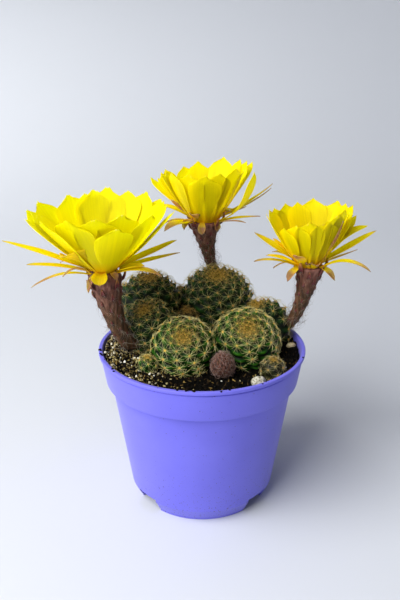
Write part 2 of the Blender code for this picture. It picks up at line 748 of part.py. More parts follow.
def build_tepals(name, flower, place):
    """The outer whorls: narrow, long, ochre, spread nearly level."""
    chance = random.Random(name + "outer")
    hub = SPREAD_HUB * flower.throat_radius

    def shape(number, angle):
        whorl = SPREAD_WHORLS[number]
        stretch, bob = (jitter * chance.uniform(-1.0, 1.0) for jitter in SPREAD_JITTER)
        reach = flower.reach + flower.swing * math.cos(angle - math.radians(flower.turn))
        reach *= whorl.reach + stretch
        lift = whorl.lift * reach
        near, far = SPREAD_PULLS
        route = curve_route((hub, SPREAD_FOOT), (near * reach, lift), (far * reach, SPREAD_ARCH * lift),
                            (reach, whorl.rise * reach + bob))
        widest = whorl.width * flower.cup_radius
        return route, [widest * width for width in TEPAL_WIDTHS], TEPAL_SECTION, SPREAD_HOLLOW

    first = flower.turn - 180.0 / TEPALS
    points, faces = whorls(hub, SPREAD_HUB_TOP * hub, SPREAD_HUB_HEIGHT, TEPALS, first, shape)
    add_bloom(name + "_tepals", flower, place, points, faces, TEPAL_SURFACE)
    return place + SPREAD_HUB_HEIGHT


def build_stamens(name, flower, place):
    """A disc of slim stamens round a taller style."""
    chance = random.Random(name + "stamens")
    outer = STAMEN_DISC_RADIUS * flower.throat_radius
    points, faces = [], []
    for share, z in STAMEN_DISC:
        points += ring(share * outer, z, STAMENS)
    faces.append([i for i in reversed(range(STAMENS))])
    faces += band(STAMENS, 0, STAMENS)
    for row, lean in enumerate(STAMEN_LEANS, start=1):
        for face in band((row + 1) * STAMENS, row * STAMENS, STAMENS):
            middle = sum((points[index] for index in face), Vector()) / 4
            outward = Vector((middle.x, middle.y, 0.0)).normalized()
            length = STAMEN_LENGTH * flower.cup_radius * chance.uniform(*STAMEN_UNEVEN)
            points.append(middle + outward * length * lean + Vector((0.0, 0.0, length)))
            faces += [(face[i], face[(i + 1) % 4], len(points) - 1) for i in range(4)]
    points.append(Vector((0.0, 0.0, STYLE_LENGTH * flower.cup_radius)))
    top = (len(STAMEN_DISC) - 1) * STAMENS
    faces += [(top + i, top + (i + 1) % STAMENS, len(points) - 1) for i in range(STAMENS)]
    add_bloom(name + "_stamens", flower, place, points, faces, STAMEN_SURFACE)


def add_bloom(name, flower, place, points, faces, surface):
    """Put a piece made about +Z on the flower's axis, `place` above its throat."""
    throat = Vector(flower.throat)
    turn = Vector((0.0, 0.0, 1.0)).rotation_difference(bloom_axis(flower)).to_matrix()
    moved = [throat + turn @ (Vector(point) + Vector((0.0, 0.0, place))) for point in points]
    add_piece(name, moved, faces, material(name, *surface))


def build_flower(name):
    """The tube and, on its throat, the tepals, the petals and the stamens, one on the other."""
    flower = FLOWERS[name]
    build_tube(name, flower)
    place = build_tepals(name, flower, GAP)
    place = build_petals(name, flower, place + GAP)
    build_stamens(name, flower, place + GAP)


# Loose pieces


def pebble_middle(pebble):
    return Vector((*pebble.spot, SOIL_TOP + GAP + SWELL[1] * pebble.size[2]))


def build_pebble(name):
    """A worn, slightly uneven stone that lies on the soil."""
    pebble = PEBBLES[name]
    chance = random.Random(pebble.seed)
    shape = bmesh.new()
    bmesh.ops.create_icosphere(shape, subdivisions=2, radius=1.0)
    points = []
    for vertex in shape.verts:
        swell = chance.uniform(*SWELL)
        points.append(pebble_middle(pebble) + Vector(pebble.size) * vertex.co * swell)
    faces = [[vertex.index for vertex in face.verts] for face in shape.faces]
    shape.free()
    add_piece(name, points, faces, material(name, pebble.colour, PEBBLE_ROUGHNESS))


def main():
    for thing in list(bpy.data.objects):
        bpy.data.objects.remove(thing)
    axis = bpy.data.objects.new("pot_axis", None)
    axis.location = (POT_AXIS[0] * MM, POT_AXIS[1] * MM, 0.0)
    bpy.context.scene.collection.objects.link(axis)
    build_pot()
    lumps = [(pebble_middle(pebble), PEBBLE_CLEAR * pebble.size[0])
             for pebble in PEBBLES.values()]
    for flower in FLOWERS.values():
        for place, spot in enumerate(tube_path(flower, 2 * TUBE_RINGS)):
            radius = tube_radius(flower, place / (2 * TUBE_RINGS - 1))
            lumps.append((spot, radius + SCALE_RISE + TUBE_CLEAR))
    feet = {name: build_head(name, lumps) for name in HEADS}
    build_soil(feet)
    for name in FLOWERS:
        build_flower(name)
    for name in PEBBLES:
        build_pebble(name)


main()
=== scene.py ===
# %% [markdown]
# # A potted cactus in flower
#
# The real thing is a clump of small round cactus heads in a soft plastic nursery pot, with three
# open flowers on long scaly tubes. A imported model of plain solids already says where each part
# stands and how large it is. This lesson makes the fine surface of each part in the same place.
# Every piece is built in metres in the frame of that model, so nothing has to be fitted later.

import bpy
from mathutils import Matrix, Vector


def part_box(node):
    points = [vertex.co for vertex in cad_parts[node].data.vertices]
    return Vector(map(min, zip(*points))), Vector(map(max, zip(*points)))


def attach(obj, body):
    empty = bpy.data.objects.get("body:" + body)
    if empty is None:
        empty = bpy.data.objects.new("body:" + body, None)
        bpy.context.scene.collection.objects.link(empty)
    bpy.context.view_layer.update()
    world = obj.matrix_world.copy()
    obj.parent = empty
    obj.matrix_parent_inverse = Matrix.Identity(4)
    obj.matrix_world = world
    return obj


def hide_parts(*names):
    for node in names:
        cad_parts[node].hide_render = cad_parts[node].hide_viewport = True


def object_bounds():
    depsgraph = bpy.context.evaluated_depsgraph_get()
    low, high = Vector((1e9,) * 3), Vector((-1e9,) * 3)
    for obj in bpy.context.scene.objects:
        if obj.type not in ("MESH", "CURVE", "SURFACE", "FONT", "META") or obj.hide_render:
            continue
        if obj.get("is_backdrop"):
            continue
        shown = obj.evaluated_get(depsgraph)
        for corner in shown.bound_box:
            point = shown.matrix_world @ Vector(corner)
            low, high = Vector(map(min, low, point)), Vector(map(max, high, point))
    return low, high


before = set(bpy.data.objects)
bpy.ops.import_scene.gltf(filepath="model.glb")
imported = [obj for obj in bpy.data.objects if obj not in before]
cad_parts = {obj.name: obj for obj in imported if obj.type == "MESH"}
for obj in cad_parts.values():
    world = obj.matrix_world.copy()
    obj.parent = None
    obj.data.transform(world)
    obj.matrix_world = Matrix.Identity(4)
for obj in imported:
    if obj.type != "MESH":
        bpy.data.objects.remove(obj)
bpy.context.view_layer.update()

# %% Tools from the standard library and from Blender
import random
from collections import namedtuple
from math import acos, cos, degrees, exp, hypot, pi, radians, sin, sqrt

import bmesh
import bpy
from mathutils import Matrix, Vector, noise

MM = 0.001
BODY = "root"
POT_AXIS = Vector((3.04, -7.75, 0.0))  # millimetres in the frame; every table counts from it
print("the pot's axis stands at", tuple(POT_AXIS))

# %% [markdown]
# ## Colours, nodes and pieces
#
# Three small functions carry the whole lesson. One turns a hex colour, as a picture shows it, into
# the linear numbers that light works with. One adds a node, sets it up and joins it to others, for
# materials and for Geometry Nodes alike. One makes a mesh from points in millimetres. A helper for
# each kind of node would be shorter to call, but this one reads the same for every node there is.
#
# A pattern's Scale counts its repeats to the metre, so 1000 is a grain of one millimetre.

# %% Colour and node helpers
def linear(hex_colour):
    """The linear colour of an sRGB hex value, with full alpha."""
    channels = [int(hex_colour[place:place + 2], 16) / 255 for place in (1, 3, 5)]
    return (*[c / 12.92 if c <= 0.04045 else ((c + 0.055) / 1.055) ** 2.4 for c in channels], 1.0)


def socket_of(value):
    """A node stands for its first output; anything else stays as it is."""
    return value.outputs[0] if isinstance(value, bpy.types.Node) else value


def add_node(tree, kind, inputs=None, stops=None, **settings):
    """Adds one node. An input is a value, a socket or a node; stops are a ramp's colours."""
    made = tree.nodes.new(kind)
    for label, value in settings.items():
        setattr(made, label, value)
    for key, value in (inputs or {}).items():
        value = socket_of(value)
        if isinstance(value, bpy.types.NodeSocket):
            tree.links.new(value, made.inputs[key])
        else:
            made.inputs[key].default_value = value
    if stops:
        elements = made.color_ramp.elements
        elements.remove(elements[1])
        elements[0].position, elements[0].color = stops[0][0], linear(stops[0][1])
        for place, colour in stops[1:]:
            elements.new(place).color = linear(colour)
    return made


def new_material(name, **surface):
    """A Principled material; the plain settings of its shader are given by their socket names."""
    made = bpy.data.materials.new(name)
    made.use_nodes = True
    shader = made.node_tree.nodes["Principled BSDF"]
    for label, value in surface.items():
        shader.inputs[label.replace("_", " ")].default_value = value
    return made, made.node_tree, shader


def finish_look(tree, shader, colour, relief=None, strength=0.0, depth=0.0):
    """Joins a colour to the shader, and a relief as a bump that is depth metres high."""
    tree.links.new(socket_of(colour), shader.inputs["Base Color"])
    if relief:
        bump = add_node(tree, "ShaderNodeBump", {
            "Strength": strength, "Distance": depth, "Height": relief})
        tree.links.new(bump.outputs["Normal"], shader.inputs["Normal"])

# %% Mesh helpers
LOCAL = Vector((0.0, 0.0, 0.0))
UP = Vector((0.0, 0.0, 1.0))
RIGHT = Vector((1.0, 0.0, 0.0))


def make_mesh(name, points, faces, origin=POT_AXIS, smooth=True):
    """A mesh from points in millimetres about the pot's axis, or about another origin."""
    mesh = bpy.data.meshes.new(name)
    mesh.from_pydata([(Vector(point) + origin) * MM for point in points], [], faces)
    mesh.polygons.foreach_set("use_smooth", [smooth] * len(mesh.polygons))
    mesh.validate()
    return mesh


def add_object(name, mesh, material=None):
    made = bpy.data.objects.new(name, mesh)
    bpy.context.scene.collection.objects.link(made)
    if material:
        mesh.materials.clear()
        mesh.materials.append(material)
    return made


def set_values(mesh, name, values):
    """Stores one number or one vector for each vertex of a mesh."""
    wide = hasattr(values[0], "__len__")
    attribute = mesh.attributes.new(name, "FLOAT_VECTOR" if wide else "FLOAT", "POINT")
    flat = [part for value in values for part in value] if wide else values
    attribute.data.foreach_set("vector" if wide else "value", flat)


def ball(subdivisions):
    """Points and faces of a ball of radius one, made of triangles of nearly one size."""
    shape = bmesh.new()
    bmesh.ops.create_icosphere(shape, subdivisions=subdivisions, radius=1.0)
    points = [vertex.co.copy() for vertex in shape.verts]
    faces = [[vertex.index for vertex in face.verts] for face in shape.faces]
    shape.free()
    return points, faces


def ring(radius, z, sides, turn=0.0):
    """Points of a level circle, counterclockwise."""
    angles = [turn + 2.0 * pi * side / sides for side in range(sides)]
    return [Vector((radius * cos(a), radius * sin(a), z)) for a in angles]


def band(upper, lower, sides):
    """Faces between two rings, given the index of each ring's first point; they look outward."""
    return [(upper + i, lower + i, lower + (i + 1) % sides, upper + (i + 1) % sides)
            for i in range(sides)]


def lathe(rings, sides):
    """Points and faces of a closed solid from rings that run from its top down to its bottom."""
    points = [point for row in rings for point in row]
    faces = []
    for row in range(len(rings) - 1):
        faces += band(row * sides, (row + 1) * sides, sides)
    faces.append(list(range(sides)))
    faces.append([len(points) - 1 - i for i in range(sides)])
    return points, faces

# %% Fit a finished piece to the frame
def fit(piece, slot, *nodes):
    """The piece rides on the one body and stands for its solids; the slot is not used."""
    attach(piece, BODY)
    if nodes:
        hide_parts(*nodes)
    triangles = sum(len(face.vertices) - 2 for face in piece.data.polygons)
    print(f"{piece.name}: {triangles} triangles")
    return piece

# %% [markdown]
# ## Camera, floor and light
#
# The pot stands on white paper and is seen from slightly above, with a normal lens. The paper is
# made as a round dish whose rim curves up, so that it stays plain from every side. A flat sheet
# with one bend would do for one view, but would end in the others. The light is a large soft
# window in front on the left, which throws a soft shadow to the right and back. A second window
# further down the room lights mostly the paper behind. A pale ceiling and a dim sky fill the
# shadows. Lamps with a size were chosen over a lighting picture, because each can be moved and
# dimmed on its own.

# %% Camera
CAMERA_AT = (2.19, -275.25, 187.8)  # millimetres in the frame
CAMERA_DOWN = 20.8  # degrees below level
LENS = 42.42

camera = bpy.data.objects.new("camera", bpy.data.cameras.new("camera"))
camera.data.lens = LENS
camera.data.sensor_width = 36.0
camera.data.clip_start = 0.01
camera.location = Vector(CAMERA_AT) * MM
camera.rotation_euler = (radians(90.0 - CAMERA_DOWN), 0.0, 0.0)
bpy.context.scene.collection.objects.link(camera)
bpy.context.scene.camera = camera
print("camera:", LENS, "mm lens,", CAMERA_DOWN, "degrees down")

# %% Floor
FLOOR_SIDES = 96
MIDDLE_RADII = (60.0, 200.0)  # two rings in the flat middle
FLAT_RADIUS = 450.0
DISH_BEND = 1400.0
DISH_STEPS = 16
DISH_EDGE = 75.0  # degrees that the dish has turned up at its edge


def dish():
    """Points and faces of the paper, which is flat in the middle and curved up all round."""
    rows = [ring(radius, 0.0, FLOOR_SIDES) for radius in MIDDLE_RADII]
    for step in range(DISH_STEPS):
        angle = radians(DISH_EDGE * step / (DISH_STEPS - 1))
        rows.append(ring(FLAT_RADIUS + DISH_BEND * sin(angle),
                         DISH_BEND * (1.0 - cos(angle)), FLOOR_SIDES))
    points, faces = lathe(rows, FLOOR_SIDES)
    return points, faces[:-1]            # without the lid over the dish


paper, tree, shader = new_material("matt white paper sweep", Roughness=0.7)
shader.inputs["Base Color"].default_value = linear("#CFD2D6")
floor = add_object("floor", make_mesh("floor", *dish(), LOCAL), paper)
floor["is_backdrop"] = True
print("paper sweep:", len(floor.data.polygons), "faces")

# %% Light
Lamp = namedtuple("Lamp", "at aim power spread")  # millimetres, watts and degrees
LAMPS = {
    "window": Lamp((-515.0, -428.0, 602.0), (0.0, 0.0, 60.0), 15.0, 180.0),
    "far window": Lamp((-950.0, 480.0, 560.0), (-350.0, 1000.0, 100.0), 4.4, 90.0),
    "ceiling": Lamp((-350.0, 100.0, 950.0), (0.0, 0.0, 0.0), 1.5, 180.0),
}
LAMP_SIZE = 860.0
SKY = "#D8E0FB"
SKY_STRENGTH = 0.22

for name, given in LAMPS.items():
    lamp = bpy.data.objects.new(name, bpy.data.lights.new(name, "AREA"))
    lamp.data.size = LAMP_SIZE * MM
    lamp.data.energy = given.power
    lamp.data.spread = radians(given.spread)
    lamp.location = Vector(given.at) * MM
    across = Vector(given.aim) - Vector(given.at)
    lamp.rotation_euler = across.to_track_quat("-Z", "Y").to_euler()
    lamp.visible_camera = False
    bpy.context.scene.collection.objects.link(lamp)
world = bpy.data.worlds.new("dim sky")
world.use_nodes = True
world.node_tree.nodes["Background"].inputs["Color"].default_value = linear(SKY)
world.node_tree.nodes["Background"].inputs["Strength"].default_value = SKY_STRENGTH
bpy.context.scene.world = world
bpy.context.scene.view_settings.view_transform = "Standard"
print("lamps:", {name: given.power for name, given in LAMPS.items()})

# %% [markdown]
# ## Rules made with Geometry Nodes
#
# Four rules make whatever repeats or follows a path here. A turned rule spins an outline into the
# pot. A sweep rule lays a round section along a path, for the flower tubes. A fan rule sets copies
# of small pieces round each point, for spines, felt, scales, hairs, petals and stamens. A scatter
# rule strews crumbs over the soil. Each tree has named sizes and a fixed seed. A modifier runs the
# tree on a carrier object, and the result is kept as a plain mesh. Loops in the script could place
# each spine too, but a tree does it many times faster, and its sizes stay in one place.

# %% Start a tree and run it
def new_tree(name, sizes):
    """A Geometry Nodes tree with a geometry in and out and one named input for each size."""
    tree = bpy.data.node_groups.new(name, "GeometryNodeTree")
    tree.is_modifier = True
    tree.interface.new_socket("Geometry", in_out="INPUT", socket_type="NodeSocketGeometry")
    for label, kind in sizes.items():
        tree.interface.new_socket(label, in_out="INPUT", socket_type="NodeSocket" + kind)
    tree.interface.new_socket("Geometry", in_out="OUTPUT", socket_type="NodeSocketGeometry")
    return tree, tree.nodes.new("NodeGroupInput"), tree.nodes.new("NodeGroupOutput")


Stand = namedtuple("Stand", "spot facing up spin lift size pick shade",
                   defaults=(0.0, 0.0, 1.0, 0.0, 0.0))
FAN_READS = Stand._fields[1:-1]  # the shade is only for materials


def grow(name, mesh, rule, sizes):
    """Runs a rule on a mesh and keeps the result as one plain object."""
    carrier = bpy.data.objects.new(name, mesh)
    modifier = carrier.modifiers.new("rule", "NODES")
    modifier.node_group = rule
    sockets = {item.name: item.identifier for item in rule.interface.items_tree
               if item.in_out == "INPUT"}
    for label, value in sizes.items():
        modifier[sockets[label]] = value
    bpy.context.scene.collection.objects.link(carrier)
    evaluated = carrier.evaluated_get(bpy.context.evaluated_depsgraph_get())
    made = bpy.data.meshes.new_from_object(evaluated)
    carrier.modifiers.clear()
    carrier.data = made
    for label in (*FAN_READS, "thickness"):
        if label in made.attributes:
            made.attributes.remove(made.attributes[label])
    return carrier

# %% Steps that several rules share
def draw_values(rule, start, first, ranges):
    """A random value between low and high for each name; the rule's seed grows by one each."""
    drawn = {}
    for shift, (label, (low, high)) in enumerate(ranges.items(), start=first):
        wide = isinstance(high, tuple)
        seed = add_node(rule, "FunctionNodeIntegerMath", {0: start.outputs["Seed"], 1: shift})
        made = add_node(rule, "FunctionNodeRandomValue", {
            0 if wide else 2: low, 1 if wide else 3: high, "Seed": seed},
            data_type="FLOAT_VECTOR" if wide else "FLOAT")
        drawn[label] = made.outputs[0 if wide else 1]
    return drawn


def set_copies(rule, start, tint, **stance):
    """Copies of the given pieces on points, each with a tint for its material."""
    pieces = add_node(rule, "GeometryNodeCollectionInfo", {
        "Collection": start.outputs["Pieces"], "Separate Children": True,
        "Reset Children": True})
    placed = add_node(rule, "GeometryNodeInstanceOnPoints", {
        "Instance": pieces, "Pick Instance": True,
        **{label.replace("_", " "): value for label, value in stance.items()}})
    return add_node(rule, "GeometryNodeStoreNamedAttribute", domain="INSTANCE",
                    data_type="FLOAT", inputs={"Geometry": placed, "Name": "tint", "Value": tint})


def end_rule(rule, start, end, geometry):
    """The last steps of every rule: copies become plain mesh, and the mesh gets its material."""
    whole = add_node(rule, "GeometryNodeRealizeInstances", {"Geometry": geometry})
    dressed = add_node(rule, "GeometryNodeSetMaterial", {
        "Geometry": whole, "Material": start.outputs["Material"]})
    rule.links.new(dressed.outputs["Geometry"], end.inputs["Geometry"])
    print("rule:", rule.name, "with", len(rule.nodes), "nodes")
    return rule

# %% [markdown]
# The turned rule takes an outline as a chain of edges, with the radius along X and the height
# down along Y. It rounds the outline's corners with one Fillet Curve node, sweeps it round a
# circle, joins the doubled points at the middle and cuts the foot's openings. A Screw modifier
# would turn the outline as well, but the corners would need their own steps first.

# %% Turned rule
TURN_CIRCLE = 0.05  # metres: radius of the circle that carries the outline
WELD = 0.00001  # metres: points closer than this become one


def turned_rule():
    rule, start, end = new_tree("turned shape", {
        "Sides": "Int", "Corner": "Float", "Corner Steps": "Int", "Cutter": "Object",
        "Material": "Material"})
    outline = add_node(rule, "GeometryNodeMeshToCurve", {"Mesh": start.outputs["Geometry"]})
    rounded = add_node(rule, "GeometryNodeFilletCurve", mode="POLY", inputs={
        "Curve": outline, "Count": start.outputs["Corner Steps"],
        "Radius": start.outputs["Corner"], "Limit Radius": True})
    circle = add_node(rule, "GeometryNodeCurvePrimitiveCircle", {
        "Resolution": start.outputs["Sides"], "Radius": TURN_CIRCLE})
    upright = add_node(rule, "GeometryNodeSetCurveNormal", {"Curve": circle}, mode="Z_UP")
    turned = add_node(rule, "GeometryNodeCurveToMesh", {
        "Curve": upright, "Profile Curve": rounded})
    joined = add_node(rule, "GeometryNodeMergeByDistance", {"Geometry": turned, "Distance": WELD})
    cutter = add_node(rule, "GeometryNodeObjectInfo", {"Object": start.outputs["Cutter"]})
    cut = add_node(rule, "GeometryNodeMeshBoolean", operation="DIFFERENCE", solver="EXACT",
                   inputs={"Mesh 1": joined, "Mesh 2": cutter.outputs["Geometry"]})
    return end_rule(rule, start, end, cut)


TURNED = turned_rule()

# %% [markdown]
# The sweep rule is what a curve with a round bevel would be, with one difference: each point of
# the path says how thick the stem is there, so that a tube can be slender below and flare above.

# %% Sweep rule
def sweep_rule():
    """A round section along a chain of edges, as thick as each point says."""
    rule, start, end = new_tree("swept stem", {"Sides": "Int", "Material": "Material"})
    thickness = add_node(rule, "GeometryNodeInputNamedAttribute", {"Name": "thickness"},
                         data_type="FLOAT")
    path = add_node(rule, "GeometryNodeMeshToCurve", {"Mesh": start.outputs["Geometry"]})
    circle = add_node(rule, "GeometryNodeCurvePrimitiveCircle", {
        "Resolution": start.outputs["Sides"], "Radius": 1.0})
    swept = add_node(rule, "GeometryNodeCurveToMesh", {
        "Curve": path, "Profile Curve": circle, "Scale": thickness, "Fill Caps": True})
    return end_rule(rule, start, end, swept)


SWEPT = sweep_rule()

# %% [markdown]
# The fan rule is the work horse. Each point of its mesh carries a direction that it faces, an up
# direction, its own turn, lift and size, and a number that picks the first piece. The rule makes
# copies of the point, spreads them round the facing direction, leans them up from the surface with
# a little chance in each angle, and gives each copy a random tint for its material. One rule for
# spines, hairs and petals alike was chosen, because they all stand in whorls round something. Its
# arithmetic is a table of sums, and each line becomes one Math node. Side Bias gathers the copies
# to the two sides and shortens those that point up or down.

# %% Sums of the fan rule
FAN_SUMS = (  # result, operation, then the names or numbers it takes
    ("share", "DIVIDE", "copy", "Copies"),
    ("spread", "MULTIPLY_ADD", "share", "Arc", "spin"),
    ("twice", "MULTIPLY", "spread", 2.0),
    ("sideways", "SINE", "twice"),
    ("gathered", "MULTIPLY_ADD", "sideways", "Side Bias", "spread"),
    ("turn", "MULTIPLY_ADD", "turn chance", "Turn Jitter", "gathered"),
    ("raised", "ADD", "Lean", "lift"),
    ("lean", "MULTIPLY_ADD", "lean chance", "Lean Jitter", "raised"),
    ("tipped", "MULTIPLY", "lean", -1.0),
    ("upright", "COSINE", "turn"),
    ("toward up", "POWER", "upright", 2.0),
    ("loss", "MULTIPLY", "toward up", "Side Bias"),
    ("shorter", "MULTIPLY_ADD", "loss", -1.0, 1.0),
    ("range", "SUBTRACT", "Scale Max", "Scale Min"),
    ("length", "MULTIPLY_ADD", "length chance", "range", "Scale Min"),
    ("own length", "MULTIPLY", "length", "shorter"),
    ("scale", "MULTIPLY", "own length", "size"),
    ("piece", "ADD", "copy", "pick"),
)

# %% Fan rule
def fan_rule():
    rule, start, end = new_tree("fan of pieces", {
        "Pieces": "Collection", "Copies": "Int", "Arc": "Float", "Turn Jitter": "Float",
        "Lean": "Float", "Lean Jitter": "Float", "Side Bias": "Float", "Scale Min": "Float",
        "Scale Max": "Float", "Seed": "Int", "Material": "Material"})
    values = {socket.name: socket for socket in start.outputs}
    values.update(draw_values(rule, start, 0, {
        "turn chance": (-1.0, 1.0), "lean chance": (-1.0, 1.0), "length chance": (0.0, 1.0),
        "tint": (0.0, 1.0)}))
    for label in FAN_READS:
        kind = "FLOAT_VECTOR" if label in ("facing", "up") else "FLOAT"
        read = add_node(rule, "GeometryNodeInputNamedAttribute", {"Name": label}, data_type=kind)
        values[label] = read
    copies = add_node(rule, "GeometryNodeDuplicateElements", domain="POINT", inputs={
        "Geometry": start.outputs["Geometry"], "Amount": start.outputs["Copies"]})
    values["copy"] = copies.outputs["Duplicate Index"]
    for label, operation, *terms in FAN_SUMS:
        taken = {place: values.get(term, term) for place, term in enumerate(terms)}
        values[label] = add_node(rule, "ShaderNodeMath", taken, operation=operation).outputs[0]

    facing = add_node(rule, "FunctionNodeAlignRotationToVector", {"Vector": values["facing"]},
                      axis="Z")
    upward = add_node(rule, "FunctionNodeAlignRotationToVector", axis="X", pivot_axis="Z",
                      inputs={"Rotation": facing, "Vector": values["up"]})
    angles = add_node(rule, "ShaderNodeCombineXYZ", {"Y": values["tipped"], "Z": values["turn"]})
    swing = add_node(rule, "FunctionNodeEulerToRotation", {"Euler": angles})
    stance = add_node(rule, "FunctionNodeRotateRotation", rotation_space="LOCAL", inputs={
        "Rotation": upward, "Rotate By": swing})
    return end_rule(rule, start, end, set_copies(
        rule, start, values["tint"], Points=copies, Instance_Index=values["piece"],
        Rotation=stance, Scale=values["scale"]))


FAN = fan_rule()
FAN_DEFAULTS = {"Copies": 1, "Arc": 2.0 * pi, "Turn Jitter": 0.0, "Lean": 0.0,
                "Lean Jitter": 0.0, "Side Bias": 0.0, "Scale Min": 1.0, "Scale Max": 1.0,
                "Seed": 0}

# %% Points and pieces for the fan rule
def stand_mesh(name, stands):
    """Loose points in the frame, each with the values that the fan rule reads."""
    mesh = bpy.data.meshes.new(name)
    mesh.from_pydata([(POT_AXIS + stand.spot) * MM for stand in stands], [], [])
    for label in Stand._fields[1:]:
        set_values(mesh, label, [getattr(stand, label) for stand in stands])
    return mesh


def shelf(name, meshes):
    """A collection, outside the scene, that holds small pieces for a rule to copy."""
    kept = bpy.data.collections.new(name)
    for number, mesh in enumerate(meshes):
        kept.objects.link(bpy.data.objects.new(f"{name}_{number:02d}", mesh))
    return kept


def fan(name, slot, node, stands, pieces, material, **sizes):
    """Sets copies of pieces round each stand and fits them to the frame as one piece."""
    values = {**FAN_DEFAULTS, "Pieces": pieces, "Material": material}
    values.update({label.replace("_", " "): value for label, value in sizes.items()})
    return fit(grow(name, stand_mesh(name, stands), FAN, values), slot, node)

# %% [markdown]
# The scatter rule strews small pieces over the faces of a mesh. Each face's share of them comes
# from a value called open, which is nought where a plant stands. The pieces turn every way, and
# each lies with its middle on the surface, so half of it is sunk. A particle system would strew
# them too, but the export drops particles.

# %% Scatter rule
LAST_PICK = 64.0  # any number well past how many pieces a shelf holds


def scatter_rule():
    rule, start, end = new_tree("strewn crumbs", {
        "Pieces": "Collection", "Density": "Float", "Scale Min": "Float", "Scale Max": "Float",
        "Seed": "Int", "Material": "Material"})
    free = add_node(rule, "GeometryNodeInputNamedAttribute", {"Name": "open"}, data_type="FLOAT")
    density = add_node(rule, "ShaderNodeMath", operation="MULTIPLY", inputs={
        0: start.outputs["Density"], 1: free})
    spread = add_node(rule, "GeometryNodeDistributePointsOnFaces", {
        "Mesh": start.outputs["Geometry"], "Density": density, "Seed": start.outputs["Seed"]})
    drawn = draw_values(rule, start, 1, {
        "turn": ((0.0,) * 3, (2.0 * pi,) * 3),
        "scale": (start.outputs["Scale Min"], start.outputs["Scale Max"]),
        "tint": (0.0, 1.0), "pick": (0.0, LAST_PICK)})
    every_way = add_node(rule, "FunctionNodeEulerToRotation", {"Euler": drawn["turn"]})
    return end_rule(rule, start, end, set_copies(
        rule, start, drawn["tint"], Points=spread, Instance_Index=drawn["pick"],
        Rotation=every_way, Scale=drawn["scale"]))


SCATTER = scatter_rule()

# %% [markdown]
# ## The pot
#
# A thin nursery pot is injection moulded from coloured polypropylene. The mould leaves a satin
# skin with a very fine grain, soft broad highlights and no sharp edge. The colour is in the
# plastic, so it is even all over, and a few specks of soil cling to it, more near the foot. The
# finish could be a painted picture wrapped round the pot. Noise in the object's own coordinates
# was chosen, because it needs no unwrapping and has no seam.

# %% Moulded plastic
def moulded_plastic():
    """Polypropylene straight from the mould: an even violet with a soft satin gleam."""
    made, tree, shader = new_material("moulded violet polypropylene", Roughness=0.58, IOR=1.52,
                                      Specular_IOR_Level=0.35, Sheen_Weight=0.2,
                                      Sheen_Roughness=0.4)
    place = add_node(tree, "ShaderNodeTexCoord").outputs["Object"]
    # The tone drifts over about 20 mm.
    cloud = add_node(tree, "ShaderNodeTexNoise", {"Vector": place, "Scale": 45.0, "Detail": 3.0})
    tone = add_node(tree, "ShaderNodeValToRGB", {"Fac": cloud}, stops=(
        (0.30, "#6663D0"), (0.70, "#6C69D6")))
    # Clinging dust is drawn at 0.6 mm, coarser than the real specks, so that it shows at all.
    # There is more of it in the lowest 30 mm.
    speck = add_node(tree, "ShaderNodeTexNoise", {"Vector": place, "Scale": 1600.0, "Detail": 2.0})
    height = add_node(tree, "ShaderNodeSeparateXYZ", {"Vector": place}).outputs["Z"]
    low_down = add_node(tree, "ShaderNodeMapRange", {
        "Value": height, "From Min": 0.030, "From Max": 0.004, "To Min": 0.0, "To Max": 0.07})
    dusty = add_node(tree, "ShaderNodeMath", operation="ADD", inputs={0: speck, 1: low_down})
    dust = add_node(tree, "ShaderNodeMapRange", {
        "Value": dusty, "From Min": 0.71, "From Max": 0.75})
    colour = add_node(tree, "ShaderNodeMix", data_type="RGBA", inputs={
        0: dust, 6: tone, 7: linear("#4A4266")})
    # The mould's grain is drawn at 0.4 mm, coarser than the real one.
    grain = add_node(tree, "ShaderNodeTexNoise", {"Vector": place, "Scale": 2600.0, "Detail": 2.0})
    finish_look(tree, shader, colour.outputs[2], grain, 0.06, 0.0002)
    return made

# %% Pot outline
RIM_RADIUS = 42.5
POT_HEIGHT = 66.7
WALL = 1.0
LIP_Z = POT_HEIGHT - 1.4  # the underside of the lip
COLLAR_TOP_RADIUS = 41.7
COLLAR_FOOT_RADIUS = 39.9
COLLAR_FOOT_Z = 53.4
BODY_TOP_RADIUS = 37.8
BODY_FOOT_RADIUS = 30.65
FOOT_RADIUS = 27.6
FOOT_Z = 6.0
FLOOR_Z = 7.6
FLOOR_THICKNESS = 1.2
GROOVE_DEPTH = 0.35  # the groove under the lip

POT_OUTLINE = [  # radius and height, from the middle of the floor
    (0.0, FLOOR_Z + FLOOR_THICKNESS),
    (BODY_FOOT_RADIUS - WALL + 0.3, FLOOR_Z + FLOOR_THICKNESS),
    (BODY_TOP_RADIUS - WALL, COLLAR_FOOT_Z - WALL),
    (COLLAR_FOOT_RADIUS - WALL, COLLAR_FOOT_Z),
    (COLLAR_TOP_RADIUS - WALL, LIP_Z),
    (RIM_RADIUS - 1.5 * WALL, POT_HEIGHT),
    (RIM_RADIUS, POT_HEIGHT),
    (RIM_RADIUS, LIP_Z),
    (COLLAR_TOP_RADIUS - GROOVE_DEPTH, LIP_Z),
    (COLLAR_TOP_RADIUS - GROOVE_DEPTH, LIP_Z - 0.6),
    (COLLAR_TOP_RADIUS, LIP_Z - 0.8),
    (COLLAR_FOOT_RADIUS, COLLAR_FOOT_Z),
    (BODY_TOP_RADIUS, COLLAR_FOOT_Z - 0.5),
    (BODY_FOOT_RADIUS, FOOT_Z),
    (FOOT_RADIUS + 0.65, 1.5),
    (FOOT_RADIUS + 0.35, 1.3),
    (FOOT_RADIUS, 0.0),
    (FOOT_RADIUS - WALL, 0.0),
    (BODY_FOOT_RADIUS - WALL, FOOT_Z),
    (BODY_FOOT_RADIUS - WALL, FLOOR_Z),
    (0.0, FLOOR_Z),
]

